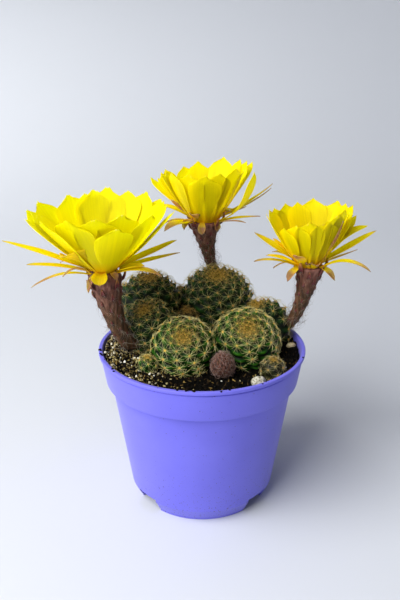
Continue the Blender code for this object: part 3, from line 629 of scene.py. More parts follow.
# %% [markdown]
# The foot ring stands on four short feet, because the mould leaves four notches in it for water to
# run out. They are cut by wedges that widen toward the ground. Four pins make the drain holes.
# Faces could be deleted by hand instead, but a cut keeps the wall's thickness in each opening.

# %% Cutter for the foot's notches and the drains
NOTCH_HEIGHT = 7.1
NOTCH_NEAR = 38.5  # degrees from the front or back to a notch
NOTCH_FAR = 58.0
NOTCH_FAR_GROUND = 67.0
NOTCH_REACH = (20.0, 36.0)  # a wedge's inner and outer radius
DRAIN_RADIUS = 3.5
DRAIN_CIRCLE = 17.0


def wedge(facing, side, far, z):
    """Level outline of one notch, counterclockwise."""
    low, high = sorted((facing + side * NOTCH_NEAR, facing + side * far))
    inner, outer = NOTCH_REACH
    corners = ((inner, low), (outer, low), (outer, high), (inner, high))
    return [ring(radius, z, 1, radians(angle))[0] for radius, angle in corners]


def foot_cutter():
    points, faces = [], []
    outlines = [(wedge(facing, side, NOTCH_FAR, NOTCH_HEIGHT),
                 wedge(facing, side, NOTCH_FAR_GROUND, -1.0))
                for facing in (-90.0, 90.0) for side in (-1, 1)]
    for middle in ring(DRAIN_CIRCLE, 0.0, 4, radians(45.0)):
        outlines.append(tuple([middle + point for point in ring(DRAIN_RADIUS, z, 32)]
                              for z in (FLOOR_Z + 3.0, FLOOR_Z - 2.0)))
    for upper, lower in outlines:
        new_points, new_faces = lathe([upper, lower], len(upper))
        faces += [[index + len(points) for index in face] for face in new_faces]
        points += new_points
    return bpy.data.objects.new("foot_cutter", make_mesh("foot_cutter", points, faces, LOCAL))

# %% Build the pot
POT_SIDES = 160
CORNER_RADIUS = 0.3
CORNER_STEPS = 5
SHARP_FROM = 40.0  # degrees; a softer edge is shaded smooth


def build_pot():
    outline = bpy.data.meshes.new("pot_outline")
    corners = [(radius * MM - TURN_CIRCLE, -z * MM, 0.0) for radius, z in POT_OUTLINE]
    outline.from_pydata(corners, [(i, i + 1) for i in range(len(corners) - 1)], [])
    pot = grow("pot_shell", outline, TURNED, {
        "Sides": POT_SIDES, "Corner": CORNER_RADIUS * MM, "Corner Steps": CORNER_STEPS,
        "Cutter": foot_cutter(), "Material": moulded_plastic()})
    pot.data.transform(Matrix.Translation(POT_AXIS * MM))
    pot.data.shade_smooth()
    pot.data.set_sharp_from_angle(angle=radians(SHARP_FROM))
    return fit(pot, "pot_violet", "pot")


pot = build_pot()

# %% [markdown]
# ## The heads' places
#
# The clump has eight grown heads and two young ones. Each is a ball that leans toward the light,
# given by its middle, its radius and the lean of its crown. Where two heads press together, a
# plane parts them, so that neither reaches into the other. A soft body simulation could press
# them too. Planes were chosen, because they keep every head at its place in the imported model.

# %% Table of heads
Head = namedtuple("Head", "centre radius lean toward look")
FRONT = -90.0
HEADS = {
    "head_back_left": Head((-22.8, 21.2, 76.3), 13.4, 12, FRONT, "green"),
    "head_mid_left": Head((-21.9, 3.5, 72.8), 10.5, 28, -110, "green"),
    "head_small_middle": Head((-6.4, 13.0, 71.2), 6.0, 20, FRONT, "woolly"),
    "head_front_left": Head((-7.4, -10.3, 69.0), 11.9, 42, FRONT, "olive"),
    "head_front_right": Head((17.9, -3.2, 69.0), 12.9, 42, FRONT, "olive"),
    "head_back_middle": Head((6.5, 25.6, 74.9), 15.8, 20, FRONT, "green"),
    "head_back_right": Head((27.0, 13.2, 69.4), 10.8, 22, -160, "green"),
    "head_small_back": Head((-9.2, 31.6, 74.0), 6.4, 15, FRONT, "woolly"),
    "offset_front_left": Head((-21.4, -17.3, 65.2), 3.9, 15, FRONT, "olive"),
    "offset_front_right": Head((27.4, -20.6, 65.4), 4.4, 15, FRONT, "dusky"),
}
BUD_AT = Vector((8.0, -19.6, 66.6))
BUD_RADIUS = 4.1

print("heads:", len(HEADS))

# %% Planes between heads that touch
HEAD_MARGIN = 0.2  # half the gap between two heads
HEAD_REACH = 8.0  # heads farther apart than this don't touch
SOIL_TOP = 61.8
SEAT_Z = 55.0  # a head's foot, down in its hole in the soil
SHOULDER_Z = 63.1  # below this a head runs straight down
RIM_CLEAR = 3.0
DRAWN_IN = 0.02  # share of the way to the middle in each step


def planes_between(name):
    """A point and an outward normal for the plane between this head and each near one."""
    head = HEADS[name]
    middle = Vector(head.centre)
    others = [(Vector(other.centre), other.radius) for label, other in HEADS.items()
              if label != name]
    planes = []
    for centre, radius in [*others, (BUD_AT, BUD_RADIUS)]:
        across = centre - middle
        distance = across.length
        if distance < head.radius + radius + HEAD_REACH:
            share = (distance ** 2 + head.radius ** 2 - radius ** 2) / (2.0 * distance)
            normal = across / distance
            planes.append((middle + normal * (share - HEAD_MARGIN), normal))
    return planes


def keep_inside(point, middle, planes):
    """Draws a point toward the middle until it is behind every plane and clear of the pot."""
    for spot, normal in planes:
        reach = (point - middle).dot(normal)
        limit = (spot - middle).dot(normal)
        if reach > limit > 0.0:
            point = middle + (point - middle) * (limit / reach)
    upright = Vector((middle.x, middle.y, point.z))
    while is_by_the_wall(point):
        point = point.lerp(upright, DRAWN_IN)
    return point


def is_by_the_wall(point):
    low = point.z < POT_HEIGHT + RIM_CLEAR
    return low and point.xy.length > COLLAR_TOP_RADIUS - RIM_CLEAR

# %% [markdown]
# ## The body of a head
#
# A head has low ribs that are broken into small chins, set in a staggered lattice. The rows stand
# close together at the crown, where new ones form, and about 2.4 mm apart lower down. The body is
# a fine ball whose radius rises at each lattice point with a product of two cosines and along each
# rib with a third one. Sculpting could make such a body too. A function was chosen, because it
# also gives the spot of every areole, the small woolly cushion that the spines grow from.

# %% Lattice of a head
RIB_SPACING = 5.8
FEWEST_RIBS = 8
ROW_STEP = 2.25
CROWN_STEP = 0.42  # share of a full step between the first rows
CROWN_ROWS = 5  # rows until the step and the chins are full
CROWN_ANGLE = 7.0  # degrees from the crown to the first row
CROWN_RISE = 0.35  # share of a full chin's rise at the crown
CROWN_DIP = 0.07  # share of the radius that the crown is sunk
DIP_ANGLE = 14.0
LEAN_FADE = 0.8  # how the lean of the crown fades toward the foot
LOWEST_ANGLE = 130.0
TWIST = 0.10  # columns that each row is turned by
CHIN_RISE = 0.70
RIB_RISE = 0.42
CHIN_DROP = 0.16  # the chin stands this share of a row below its areole
FULL_RADIUS = 11.0  # smaller heads have smaller chins


class Lattice:
    """Spots on one head, by column and row."""

    def __init__(self, name):
        head = HEADS[name]
        self.name = name
        self.middle = Vector(head.centre)
        self.radius = head.radius
        self.planes = planes_between(name)
        self.ribs = max(FEWEST_RIBS, 2 * round(pi * head.radius / RIB_SPACING))
        toward = radians(head.toward)
        leaning = Vector((cos(toward), sin(toward), 0.0))
        self.tilt_axis = UP.cross(leaning)
        self.lean = radians(head.lean)
        drop = max(-1.0, min(1.0, (SHOULDER_Z - self.middle.z) / head.radius))
        self.lowest = min(radians(LOWEST_ANGLE), acos(drop))
        self.rows = [radians(CROWN_ANGLE)]
        while self.rows[-1] < self.lowest:
            grown = min(1.0, len(self.rows) / CROWN_ROWS)
            share = CROWN_STEP + (1.0 - CROWN_STEP) * grown
            self.rows.append(self.rows[-1] + ROW_STEP * share / head.radius)
        self.scale = min(1.0, head.radius / FULL_RADIUS)

    def polar(self, row):
        """Angle from the crown at a row, which may be a fraction."""
        whole = max(0, min(len(self.rows) - 2, int(row)))
        return self.rows[whole] + (row - whole) * (self.rows[whole + 1] - self.rows[whole])

    def spot(self, column, row, smooth=False):
        """A point of the surface and its height on the chin; a smooth one leaves chins out."""
        polar = self.polar(row)
        turn = 2.0 * pi * (column + TWIST * row) / self.ribs
        direction = Vector((sin(polar) * cos(turn), sin(polar) * sin(turn), cos(polar)))
        first = self.rows[0]
        share = max(0.0, min(1.0, (polar - first) / (self.lowest - first)))
        lean = Matrix.Rotation(self.lean * (1.0 - share) ** LEAN_FADE, 3, self.tilt_axis)
        young = CROWN_RISE + (1.0 - CROWN_RISE) * min(1.0, max(0.0, row) / CROWN_ROWS)
        chin = cos(pi * column) * cos(pi * (row - CHIN_DROP))
        rib = cos(2.0 * pi * column)
        rise = 0.0 if smooth else self.scale * young * (CHIN_RISE * chin + RIB_RISE * rib)
        sunk = CROWN_DIP * self.radius * exp(-(polar / radians(DIP_ANGLE)) ** 2)
        return self.middle + lean @ direction * (self.radius + rise - sunk), chin

# %% Mesh of a head's body
COLUMN_SAMPLES = 7  # points to a column and to a row of the lattice
ROW_SAMPLES = 5


def body_mesh(lattice):
    """A closed ball on a straight foot, with each vertex's height on its chin kept as ridge."""
    sides = lattice.ribs * COLUMN_SAMPLES
    count = (len(lattice.rows) - 1) * ROW_SAMPLES
    rings, ridge = [], []
    for step in range(count + 1):
        row = step / ROW_SAMPLES
        points = []
        for side in range(sides):
            point, chin = lattice.spot(side / COLUMN_SAMPLES, row)
            points.append(keep_inside(point, lattice.middle, lattice.planes))
            ridge.append(0.5 + 0.5 * chin)
        rings.append(points)
    foot = [Vector((point.x, point.y, SEAT_Z)) for point in rings[-1]]
    rings.append(foot)
    ridge += [0.0] * sides
    points, faces = lathe(rings, sides)
    mesh = make_mesh(lattice.name, points, faces)
    set_values(mesh, "ridge", ridge)
    return mesh

# %% Spots of a head's areoles
CROWN_REACH = 50.0  # degrees from the crown that look young and golden
CROWN_LIFT = 26.0  # degrees that the youngest spines stand up
CROWN_LOSS = 0.22  # share that the youngest spines are shorter
SMALL_LOSS = 0.35  # power of a head's scale that its spines follow
LOOK_UP = 0.12  # an areole faces a little toward the crown
BURIED = 0.4


def areoles(lattice, lumps):
    """A stand for each areole that is in the air, facing out, with its up side to the crown."""
    stands = []
    for row in range(len(lattice.rows) - 1):
        for column in range(row % 2, lattice.ribs, 2):
            spot, _ = lattice.spot(column, row)
            above, _ = lattice.spot(column, row - 0.5 if row else 0.0, smooth=True)
            below, _ = lattice.spot(column, row + 0.5, smooth=True)
            facing = (spot - lattice.middle).normalized()
            up = (above - below).normalized()
            facing = (facing + LOOK_UP * up).normalized()
            up = (up - facing * up.dot(facing)).normalized()
            hidden = any((spot - at).dot(normal) > -BURIED for at, normal in lattice.planes)
            crowded = any((spot - at).length < reach for at, reach in lumps)
            if hidden or crowded or spot.z < SOIL_TOP + BURIED or is_by_the_wall(spot):
                continue
            crown = max(0.0, 1.0 - degrees(lattice.rows[row]) / CROWN_REACH)
            stands.append(Stand(spot, facing, up, lift=radians(CROWN_LIFT) * crown,
                                size=lattice.scale ** SMALL_LOSS * (1.0 - CROWN_LOSS * crown),
                                pick=float(3 * row + column), shade=crown))
    return stands

# %% [markdown]
# ## The skin of a head
#
# The skin is green and waxy. Its colour is painted shade and painted light: darker in the furrows
# and lighter on the chins. A low sheen comes from the wax. A little light goes into the flesh and
# comes out again. The painted shade could follow a pointiness or ambient occlusion node. The
# height on the chin is kept in the mesh instead, because it is exact and costs nothing to render.

# %% Cactus skin
def cactus_skin(name, furrow_shade, flank, chin):
    """Waxy skin on wet flesh: soft shine, painted shade and light by height on the chin."""
    made, tree, shader = new_material(name, Roughness=0.45, IOR=1.36, Subsurface_Weight=0.05,
                                      Subsurface_Scale=0.0015, Specular_IOR_Level=0.2)
    ridge = add_node(tree, "ShaderNodeAttribute", attribute_name="ridge").outputs["Fac"]
    place = add_node(tree, "ShaderNodeTexCoord").outputs["Object"]
    # The skin is blotched at about 2.4 mm, and its wax is grained at 0.2 mm.
    mottle = add_node(tree, "ShaderNodeTexNoise", {"Vector": place, "Scale": 420.0, "Detail": 3.0})
    uneven = add_node(tree, "ShaderNodeMath", operation="MULTIPLY_ADD", inputs={
        0: mottle, 1: 0.5, 2: -0.25})
    level = add_node(tree, "ShaderNodeMath", operation="ADD", use_clamp=True, inputs={
        0: ridge, 1: uneven})
    # Painted shade in the furrows, painted light on the chins.
    tone = add_node(tree, "ShaderNodeValToRGB", {"Fac": level}, stops=(
        (0.05, furrow_shade), (0.45, flank), (0.95, chin)))
    grain = add_node(tree, "ShaderNodeTexNoise", {"Vector": place, "Scale": 5000.0})
    finish_look(tree, shader, tone, grain, 0.15, 0.0002)
    return made


# The sunlit skin is the green one made lighter for the heads in front, which is painted light.
SKINS = {
    "green": cactus_skin("waxy green cactus skin", "#050A03", "#0C1C07", "#1E3F10"),
    "olive": cactus_skin("sunlit green cactus skin", "#030902", "#0E2807", "#2E6411"),
    "woolly": cactus_skin("young olive cactus skin", "#15140A", "#2A2812", "#4A4620"),
    "dusky": cactus_skin("dusty dark cactus skin", "#0C0C06", "#1A1C0C", "#363A18"),
}
SLOTS = {"green": "green_skin", "olive": "olive_skin", "woolly": "woolly_skin",
         "dusky": "olive_skin"}
print("skins:", list(SKINS))

# %% [markdown]
# ## Spines and felt
#
# Each areole bears about a dozen thin spines that lie along the body like a spider's legs. They
# are a little longer to the sides and curve back to the skin. Young ones at the crown stand up
# and are golden; older ones bleach to straw and then grey. One spine is a tube of three sides,
# and the fan rule spreads thirteen of them round each areole. A hair system would be quicker to
# set up, but the export keeps only mesh, and real thin tubes look the same in every program.

# %% A bristle, for spines and hairs
BRISTLE_SIDES = 3


def bristle(name, length, radius, arch, droop, steps=5, sway=0.0, tip_share=0.25):
    """A tapered bristle along +X that rises off its base and curves back down."""
    sides = BRISTLE_SIDES
    points, faces, along = [], [], []
    for step in range(steps):
        share = step / steps
        middle = Vector((length * share, sway * length * sin(pi * share),
                         4.0 * arch * share * (1.0 - share) - droop * share ** 2))
        slope = (4.0 * arch * (1.0 - 2.0 * share) - 2.0 * droop * share) / length
        normal = Vector((-slope, 0.0, 1.0)).normalized()
        thick = radius * (1.0 - (1.0 - tip_share) * share)
        for side in range(sides):
            angle = 2.0 * pi * side / sides
            points.append(middle + thick * (normal * cos(angle)
                                            + Vector((0.0, 1.0, 0.0)) * sin(angle)))
            along.append(share)
    points.append(Vector((length, 0.0, -droop)))
    along.append(1.0)
    faces.append(list(range(sides)))
    for step in range(steps - 1):
        faces += [(d, a, b, c) for a, b, c, d in band(step * sides, (step + 1) * sides, sides)]
    last = (steps - 1) * sides
    faces += [(last + (side + 1) % sides, last + side, len(points) - 1) for side in range(sides)]
    mesh = make_mesh(name, points, faces, LOCAL)
    set_values(mesh, "along", along)
    return mesh


def bristles(name, radius, shapes, **common):
    """A shelf of bristles, one for each length, arch, droop and sway."""
    return shelf(name, [bristle(name, length, radius, arch, droop, sway=sway, **common)
                        for length, arch, droop, sway in shapes])


spines = bristles("spine", 0.08, ((3.7, 0.4, 0.4, 0.02), (3.33, 0.5, 0.3, -0.03),
                                  (3.996, 0.35, 0.5, 0.04), (3.108, 0.5, 0.2, -0.02)))

# %% A felt cushion
PAD_RADIUS = 0.44
PAD_SIDES = 8
PAD_ANGLES = (0.5, 1.0, 1.5, 2.2)  # radians from the top of the pad to its rings
TUFTS = 12
TUFT_WIDTH = 0.10
TUFT_REACH = (1.15, 1.7)  # shares of the pad's radius


def cushion(name, seed):
    """A round felt pad with short tufts of wool all over it, facing +Z."""
    chance = random.Random(seed)
    rows = [ring(PAD_RADIUS * sin(polar), 0.7 * PAD_RADIUS * cos(polar), PAD_SIDES, polar)
            for polar in PAD_ANGLES]
    points, faces = lathe(rows, PAD_SIDES)
    for _ in range(TUFTS):
        polar, turn = chance.uniform(0.1, 1.35), chance.uniform(0.0, 2.0 * pi)
        out = Vector((sin(polar) * cos(turn), sin(polar) * sin(turn), cos(polar)))
        across = out.orthogonal().normalized() * TUFT_WIDTH
        foot = [0.6 * PAD_RADIUS * out + Matrix.Rotation(angle, 3, out) @ across
                for angle in (0.0, 2.1, 4.2)]
        start = len(points)
        points += foot + [out * PAD_RADIUS * chance.uniform(*TUFT_REACH)]
        faces += [(start, start + 2, start + 1), (start, start + 1, start + 3),
                  (start + 1, start + 2, start + 3), (start + 2, start, start + 3)]
    return make_mesh(name, points, faces, LOCAL)


cushions = shelf("cushion", [cushion("cushion", seed) for seed in range(3)])

# %% Spine and felt materials
def straw_spine(name, base, shaft, bleached, gold):
    """Dead woody fibre: dull straw, browner at its foot, golden on young growth."""
    made, tree, shader = new_material(name, Roughness=0.55, IOR=1.50)
    values = {label: add_node(tree, "ShaderNodeAttribute", attribute_name=label).outputs["Fac"]
              for label in ("along", "tint", "shade")}
    age = add_node(tree, "ShaderNodeValToRGB", {"Fac": values["tint"]}, stops=(
        (0.0, shaft), (1.0, bleached)))
    fresh = add_node(tree, "ShaderNodeMapRange", {
        "Value": values["shade"], "From Min": 0.30, "From Max": 0.80})
    shade = add_node(tree, "ShaderNodeMix", data_type="RGBA", inputs={
        0: fresh, 6: age, 7: linear(gold)})
    foot = add_node(tree, "ShaderNodeMapRange", {
        "Value": values["along"], "From Min": 0.30, "From Max": 0.0})
    whole = add_node(tree, "ShaderNodeMix", data_type="RGBA", inputs={
        0: foot, 6: shade.outputs[2], 7: linear(base)})
    finish_look(tree, shader, whole.outputs[2])
    return made


def coloured_by(value, name, stops, **surface):
    """A plain material whose colour follows a value that the mesh keeps."""
    made, tree, shader = new_material(name, **surface)
    kept = add_node(tree, "ShaderNodeAttribute", attribute_name=value).outputs["Fac"]
    tone = add_node(tree, "ShaderNodeValToRGB", {"Fac": kept}, stops=stops)
    finish_look(tree, shader, tone)
    return made


SPINE_LOOKS = {
    "green": straw_spine("yellow straw spines", "#9A7828", "#8E8640", "#D8D08C", "#B8922E"),
    "olive": straw_spine("pale straw spines", "#C8A23A", "#CCC26C", "#FFF3AE", "#C8A03A"),
    "woolly": straw_spine("brown straw spines", "#8A6428", "#9A8040", "#C4A862", "#A8802E"),
    "dusky": straw_spine("dusty straw spines", "#A88636", "#9A8C54", "#DED29A", "#B08C2E"),
}
# Felt is short matted wool. It has no shine, and each pad its own yellow.
FELT_LOOKS = {look: coloured_by("tint", name, ((0.0, deep), (1.0, fair)), Roughness=0.9,
                                Sheen_Weight=0.3)
              for look, name, deep, fair in (
                  ("green", "amber felt", "#A8741A", "#E2A930"),
                  ("olive", "yellow felt", "#C48C1A", "#F6CC4A"),
                  ("woolly", "brown felt", "#8E6224", "#C08E3A"),
                  ("dusky", "dull amber felt", "#A8741A", "#E2B040"))}
print("spine looks:", list(SPINE_LOOKS), "felt looks:", list(FELT_LOOKS))

# %% Build the heads
SPINE_COPIES = 13
SPINE_LEAN = {"green": (14.0, 16.0), "olive": (7.0, 9.0), "woolly": (12.0, 14.0),
              "dusky": (8.0, 10.0)}      # degrees up from the skin, and the chance in it
YOUNG_PAD_LOSS = 0.4  # pads at the crown are smaller


def build_head(name, number, lumps):
    """Body, spines and felt of one head; gives back how many areoles it has."""
    look = HEADS[name].look
    lattice = Lattice(name)
    body = add_object(name + "_body", body_mesh(lattice), SKINS[look])
    fit(body, SLOTS[look], name)
    stands = areoles(lattice, lumps)
    lean, jitter = [radians(angle) for angle in SPINE_LEAN[look]]
    fan(name + "_spines", SLOTS[look], name, stands, spines, SPINE_LOOKS[look],
        Copies=SPINE_COPIES, Turn_Jitter=radians(9.0), Lean=lean, Lean_Jitter=jitter,
        Side_Bias=0.1, Scale_Min=0.8, Scale_Max=1.12, Seed=10 * number)
    pads = [stand._replace(size=stand.size * (1.0 - YOUNG_PAD_LOSS * stand.shade))
            for stand in stands]
    fan(name + "_felt", SLOTS[look], name, pads, cushions, FELT_LOOKS[look],
        Turn_Jitter=3.0, Scale_Min=0.85, Scale_Max=1.15, Seed=10 * number + 5)
    return len(stands)

# %% [markdown]
# ## The flowers' places
#
# A flower springs from the side of a head, on a tube that curves up to its throat. The throat
# carries the outer tepals, spread nearly level, and above them the yellow cup. Each flower is
# given by its seat on the head, its throat, the middle of its rim and a few radii. The cup's foot
# is how far it stands above the throat, its hub a share of the throat's radius, and blunt and
# teeth shape the tips of its petals. The tube could be drawn by hand as a curve. It is worked out
# from seat and throat instead, by one cubic curve, so that it keeps to the path of its solid.

# %% Table of flowers
Flower = namedtuple("Flower", "head start bend throat cup tube_radius throat_radius cup_radius"
                              " cup_foot cup_hub blunt teeth")
FLOWERS = {
    "flower_left": Flower("head_mid_left", (-0.62, -0.66, -0.40), 0.20, (-37.4, -10.0, 98.6),
                          (-37.7, -12.0, 126.2), 3.2, 6.6, 25.8, 4.0, 0.62, 0.24, 1.0),
    "flower_back": Flower("head_back_middle", (-0.10, 0.60, 0.79), 0.14, (1.3, 33.0, 110.1),
                          (1.6, 33.0, 133.2), 2.2, 7.0, 19.5, 1.0, 0.80, 0.14, 0.5),
    "flower_right": Flower("head_back_right", (0.92, -0.30, 0.16), 0.12, (43.9, 8.0, 98.0),
                           (43.3, 8.0, 121.0), 2.3, 5.9, 18.2, 0.5, 0.76, 0.12, 0.35),
}
print("flowers:", list(FLOWERS))

# %% Path and width of a flower's tube
TUBE_FLARE = 3.3  # the larger, the later the tube widens
SEAT_EDGE = 0.5  # the flat on the head is this much wider than the tube
SEAT_SINK = 1.2
THROAT_LEAN = 0.35  # how far the tube's end turns toward its seat
THROAT_PULL = 0.50


def cubic(start, pull, lift, end, t):
    """A point of a cubic curve from its start to its end, drawn toward the two between."""
    s = 1.0 - t
    return (Vector(start) * s ** 3 + Vector(pull) * 3 * s * s * t
            + Vector(lift) * 3 * s * t * t + Vector(end) * t ** 3)


def flower_axis(flower):
    return (Vector(flower.cup) - Vector(flower.throat)).normalized()


def tube_path(flower, count):
    """Points along a flower's tube, from its seat on the head up to its throat."""
    normal = Vector(flower.start).normalized()
    head = HEADS[flower.head]
    flat = flower.tube_radius + SEAT_EDGE
    start = Vector(head.centre) + normal * (sqrt(head.radius ** 2 - flat ** 2) - SEAT_SINK)
    throat = Vector(flower.throat)
    rise = (throat - start).length
    lean = (flower_axis(flower) + THROAT_LEAN * (throat - start) / rise).normalized()
    bend = start + normal * (flower.bend * rise)
    under = throat - lean * (THROAT_PULL * rise)
    return [cubic(start, bend, under, throat, place / (count - 1)) for place in range(count)]


def tube_radius(flower, share):
    flare = flower.throat_radius - flower.tube_radius
    return flower.tube_radius + flare * share ** TUBE_FLARE

# %% Lumps that spines keep clear of
LUMP_STEPS = 22
SPINE_CLEAR = 0.6


def tube_lumps():
    """A spot and a reach for each step along each tube, where no areole may stand."""
    return [(spot, tube_radius(flower, place / (LUMP_STEPS - 1)) + SPINE_CLEAR)
            for flower in FLOWERS.values()
            for place, spot in enumerate(tube_path(flower, LUMP_STEPS))]


heads_felted = {name: build_head(name, number, tube_lumps())
                for number, name in enumerate(HEADS)}
print("areoles:", heads_felted)

# %% [markdown]
# ## Petals
#
# A petal is a soft blade, narrow at its base and widest past its middle, with a short point. It is
# hollowed along its length, has a faint fold down the middle, and its edge waves a little. A flat
# leaf with a Solidify modifier would do, but each petal here differs, so a function draws it from
# a few numbers. It is built as two skins, 0.14 mm apart in the cup and 0.2 mm in the tepals. Each
# petal keeps how far along and across it each vertex lies, so that its material can follow the
# veins.

# %% A blade
TIP_ROUND = 0.64  # power that rounds the outline near the tip
ROW_CROWDING = 1.25  # power that sets the rows closer toward the tip
LOOK_AHEAD = 0.02  # share of the length, for the direction at a row
RUFFLES = 7.0  # radians of wave along an edge
SKEW = 0.05  # share of the width that a tip may lie to one side
NOTCHED_FROM = 0.75  # share of the length where the tip's cuts begin
CORNER_BACK = 0.12  # share of the width that the tip's corners fall back


def blade_width(share, widest, base, swell, closing):
    """Share of the full width along a blade that swells to its widest place and then closes."""
    if share < widest:
        return base + (1.0 - base) * sin(0.5 * pi * share / widest) ** swell
    past = (share - widest) / (1.0 - widest)
    return (1.0 - past ** closing) ** TIP_ROUND


def blade_mesh(name, route, width, thickness, widest, base, hollow, fold, wave, steps, across,
               roll=0.0, blunt=0.015, teeth=0.0, swell=1.3, closing=1.3, seed=0):
    """A closed thin blade along a cubic route, of distances from the axis and heights.

    A blunt tip keeps that share of the width; teeth is how far its edge is cut, in millimetres.
    A large swell keeps the lower half slender, and a large closing makes the tip round.
    """
    chance = random.Random(seed)
    phase = [chance.uniform(0.0, 2.0 * pi) for _ in range(2)]
    skew = chance.uniform(-1.0, 1.0)
    cut = [teeth * chance.random() for _ in range(across + 1)]
    upper, lower, marks = [], [], []
    for step in range(steps + 1):
        share = 1.0 - (1.0 - step / steps) ** ROW_CROWDING
        middle = cubic(*route, share)
        ahead = (cubic(*route, min(1.0, share + LOOK_AHEAD))
                 - cubic(*route, max(0.0, share - LOOK_AHEAD))).normalized()
        inward = Vector((-ahead.y, 0.0, ahead.x))
        half = 0.5 * width * max(blunt, blade_width(share, widest, base, swell, closing))
        for place in range(across + 1):
            side = 2.0 * place / across - 1.0
            ruffle = wave * side ** 2 * sin(RUFFLES * share + phase[side > 0]) * share
            rise = hollow * half * side ** 2 + fold * (abs(side) - 0.5) * (1.0 - share) + ruffle
            rise += roll * half * side
            notch = (cut[place] + CORNER_BACK * width * side ** 2) * (
                max(0.0, share - NOTCHED_FROM) / (1.0 - NOTCHED_FROM))
            point = Vector((middle.x, side * half + skew * SKEW * width * share ** 2,
                            middle.y)) + inward * rise
            point -= Vector((ahead.x, 0.0, ahead.y)) * notch
            upper.append(point + inward * thickness / 2)
            lower.append(point - inward * thickness / 2)
            marks.append((side * half / (0.5 * width), share, 0.0))
    columns = across + 1
    count = len(upper)
    faces = []
    for step in range(steps):
        for place in range(across):
            a = step * columns + place
            b, c, d = a + 1, a + columns + 1, a + columns
            faces.append((a, d, c, b))
            faces.append((count + a, count + b, count + c, count + d))
    edge = [step * columns for step in range(steps + 1)]
    edge += [steps * columns + place for place in range(1, columns)]
    edge += [step * columns + across for step in reversed(range(steps))]
    edge += [place for place in reversed(range(1, across))]
    for here, after in zip(edge, edge[1:] + edge[:1]):
        faces.append((here, count + here, count + after, after))
    mesh = make_mesh(name, upper + lower, faces, LOCAL)
    mesh.set_sharp_from_angle(angle=radians(60.0))
    set_values(mesh, "blade", marks + marks)
    return mesh

# %% [markdown]
# Petal tissue is thin and full of water, so light that falls on the back of a petal shines out of
# its front. A translucent shader could be mixed in. Subsurface scattering was chosen, because the
# export keeps a Principled material. The veins are noise that is stretched along the blade, and
# their darker streaks are partly painted shade.

# %% Petal and tepal materials
def petal_skin(name, throat, middle, tip, aged, age_from, vein_and_shade_depth, glow):
    """Thin wet silky tissue that light shines through; its veins are partly painted shade.

    A blade turns to its aged colour where its share of length and its own shade add up.
    """
    made, tree, shader = new_material(name, Roughness=0.55, IOR=1.3, Specular_IOR_Level=0.12,
                                      Subsurface_Weight=glow, Subsurface_Scale=0.003,
                                      Subsurface_Radius=(1.0, 0.97, 0.2))
    mark = add_node(tree, "ShaderNodeAttribute", attribute_name="blade").outputs["Vector"]
    values = {label: add_node(tree, "ShaderNodeAttribute", attribute_name=label).outputs["Fac"]
              for label in ("tint", "shade")}
    along = add_node(tree, "ShaderNodeSeparateXYZ", {"Vector": mark}).outputs["Y"]
    # The deeper gold at the throat is partly the petal's own colour and partly painted shade in
    # the cup.
    fresh = add_node(tree, "ShaderNodeValToRGB", {"Fac": along}, stops=(
        (0.03, throat), (0.30, middle), (0.98, tip)))
    # Eighteen streaks of noise cross a blade, less than 1 mm apart, and run along it as veins.
    stretched = add_node(tree, "ShaderNodeMapping", {"Vector": mark, "Scale": (9.0, 1.2, 1.0)})
    # The tint of each copy moves the noise, so that no two blades have the same veins.
    apart = add_node(tree, "ShaderNodeMath", {0: values["tint"], 1: 40.0}, operation="MULTIPLY")
    moved = add_node(tree, "ShaderNodeVectorMath", {0: stretched, 1: apart}, operation="ADD")
    veins = add_node(tree, "ShaderNodeTexNoise", {"Vector": moved, "Scale": 1.0, "Detail": 3.0})
    withered = add_node(tree, "ShaderNodeMath", {0: along, 1: values["shade"]}, operation="ADD")
    uneven = add_node(tree, "ShaderNodeMath", operation="MULTIPLY_ADD", inputs={
        0: veins, 1: 0.3, 2: withered})
    age = add_node(tree, "ShaderNodeMapRange", {
        "Value": uneven, "From Min": age_from, "From Max": age_from + 0.35})
    tone = add_node(tree, "ShaderNodeMix", data_type="RGBA", inputs={
        0: age, 6: fresh, 7: linear(aged)})
    # The veins darken the colour in streaks, partly as their own colour and partly as painted
    # shade.
    light = add_node(tree, "ShaderNodeMapRange", {
        "Value": veins, "From Min": 0.3, "From Max": 0.7,
        "To Min": 1.0 - vein_and_shade_depth, "To Max": 1.0})
    shaded = add_node(tree, "ShaderNodeMix", data_type="RGBA", blend_type="MULTIPLY", inputs={
        0: 1.0, 6: tone.outputs[2], 7: light})
    finish_look(tree, shader, shaded.outputs[2], veins, 0.2, 0.0003)
    return made


# The back and right flowers' deeper yellows are partly their own and partly painted shade.
PETAL = {name: petal_skin(f"{age} yellow petal tissue", throat, middle, tip, aged="#FFF6A0",
                          age_from=1.15, vein_and_shade_depth=0.08, glow=0.60)
         for name, age, throat, middle, tip in (
             ("flower_left", "fresh", "#FAB400", "#FFE600", "#FFF200"),
             ("flower_back", "silky", "#EEA400", "#FCDC00", "#FFEA00"),
             ("flower_right", "golden", "#E89800", "#FAD600", "#FCE400"))}
TEPAL = petal_skin("ochre tepal tissue", "#D89A08", "#FFC800", "#F6BC14", aged="#8E5C46",
                   age_from=1.05, vein_and_shade_depth=0.14, glow=0.8)
SCALE_SKIN = petal_skin("maroon scale tissue", "#54362E", "#6C363A", "#7E4A3E", aged="#B07A3C",
                        age_from=1.15, vein_and_shade_depth=0.25, glow=0.1)
print("petal tissues:", [made.name for made in (*PETAL.values(), TEPAL, SCALE_SKIN)])

# %% Stands round a flower's axis
def axis_frame(flower):
    """Turns +Z to the flower's axis, as its solids are turned."""
    return UP.rotation_difference(flower_axis(flower)).to_matrix()


def round_axis(flower, height, turns):
    """A stand on the axis for each (angle in degrees, lift in degrees, size, pick, shade)."""
    turned = axis_frame(flower)
    axis = flower_axis(flower)
    spot = Vector(flower.throat) + axis * height
    forward = turned @ RIGHT
    return [Stand(spot, axis, forward, radians(angle), radians(lift), size, float(pick), shade)
            for angle, lift, size, pick, shade in turns]

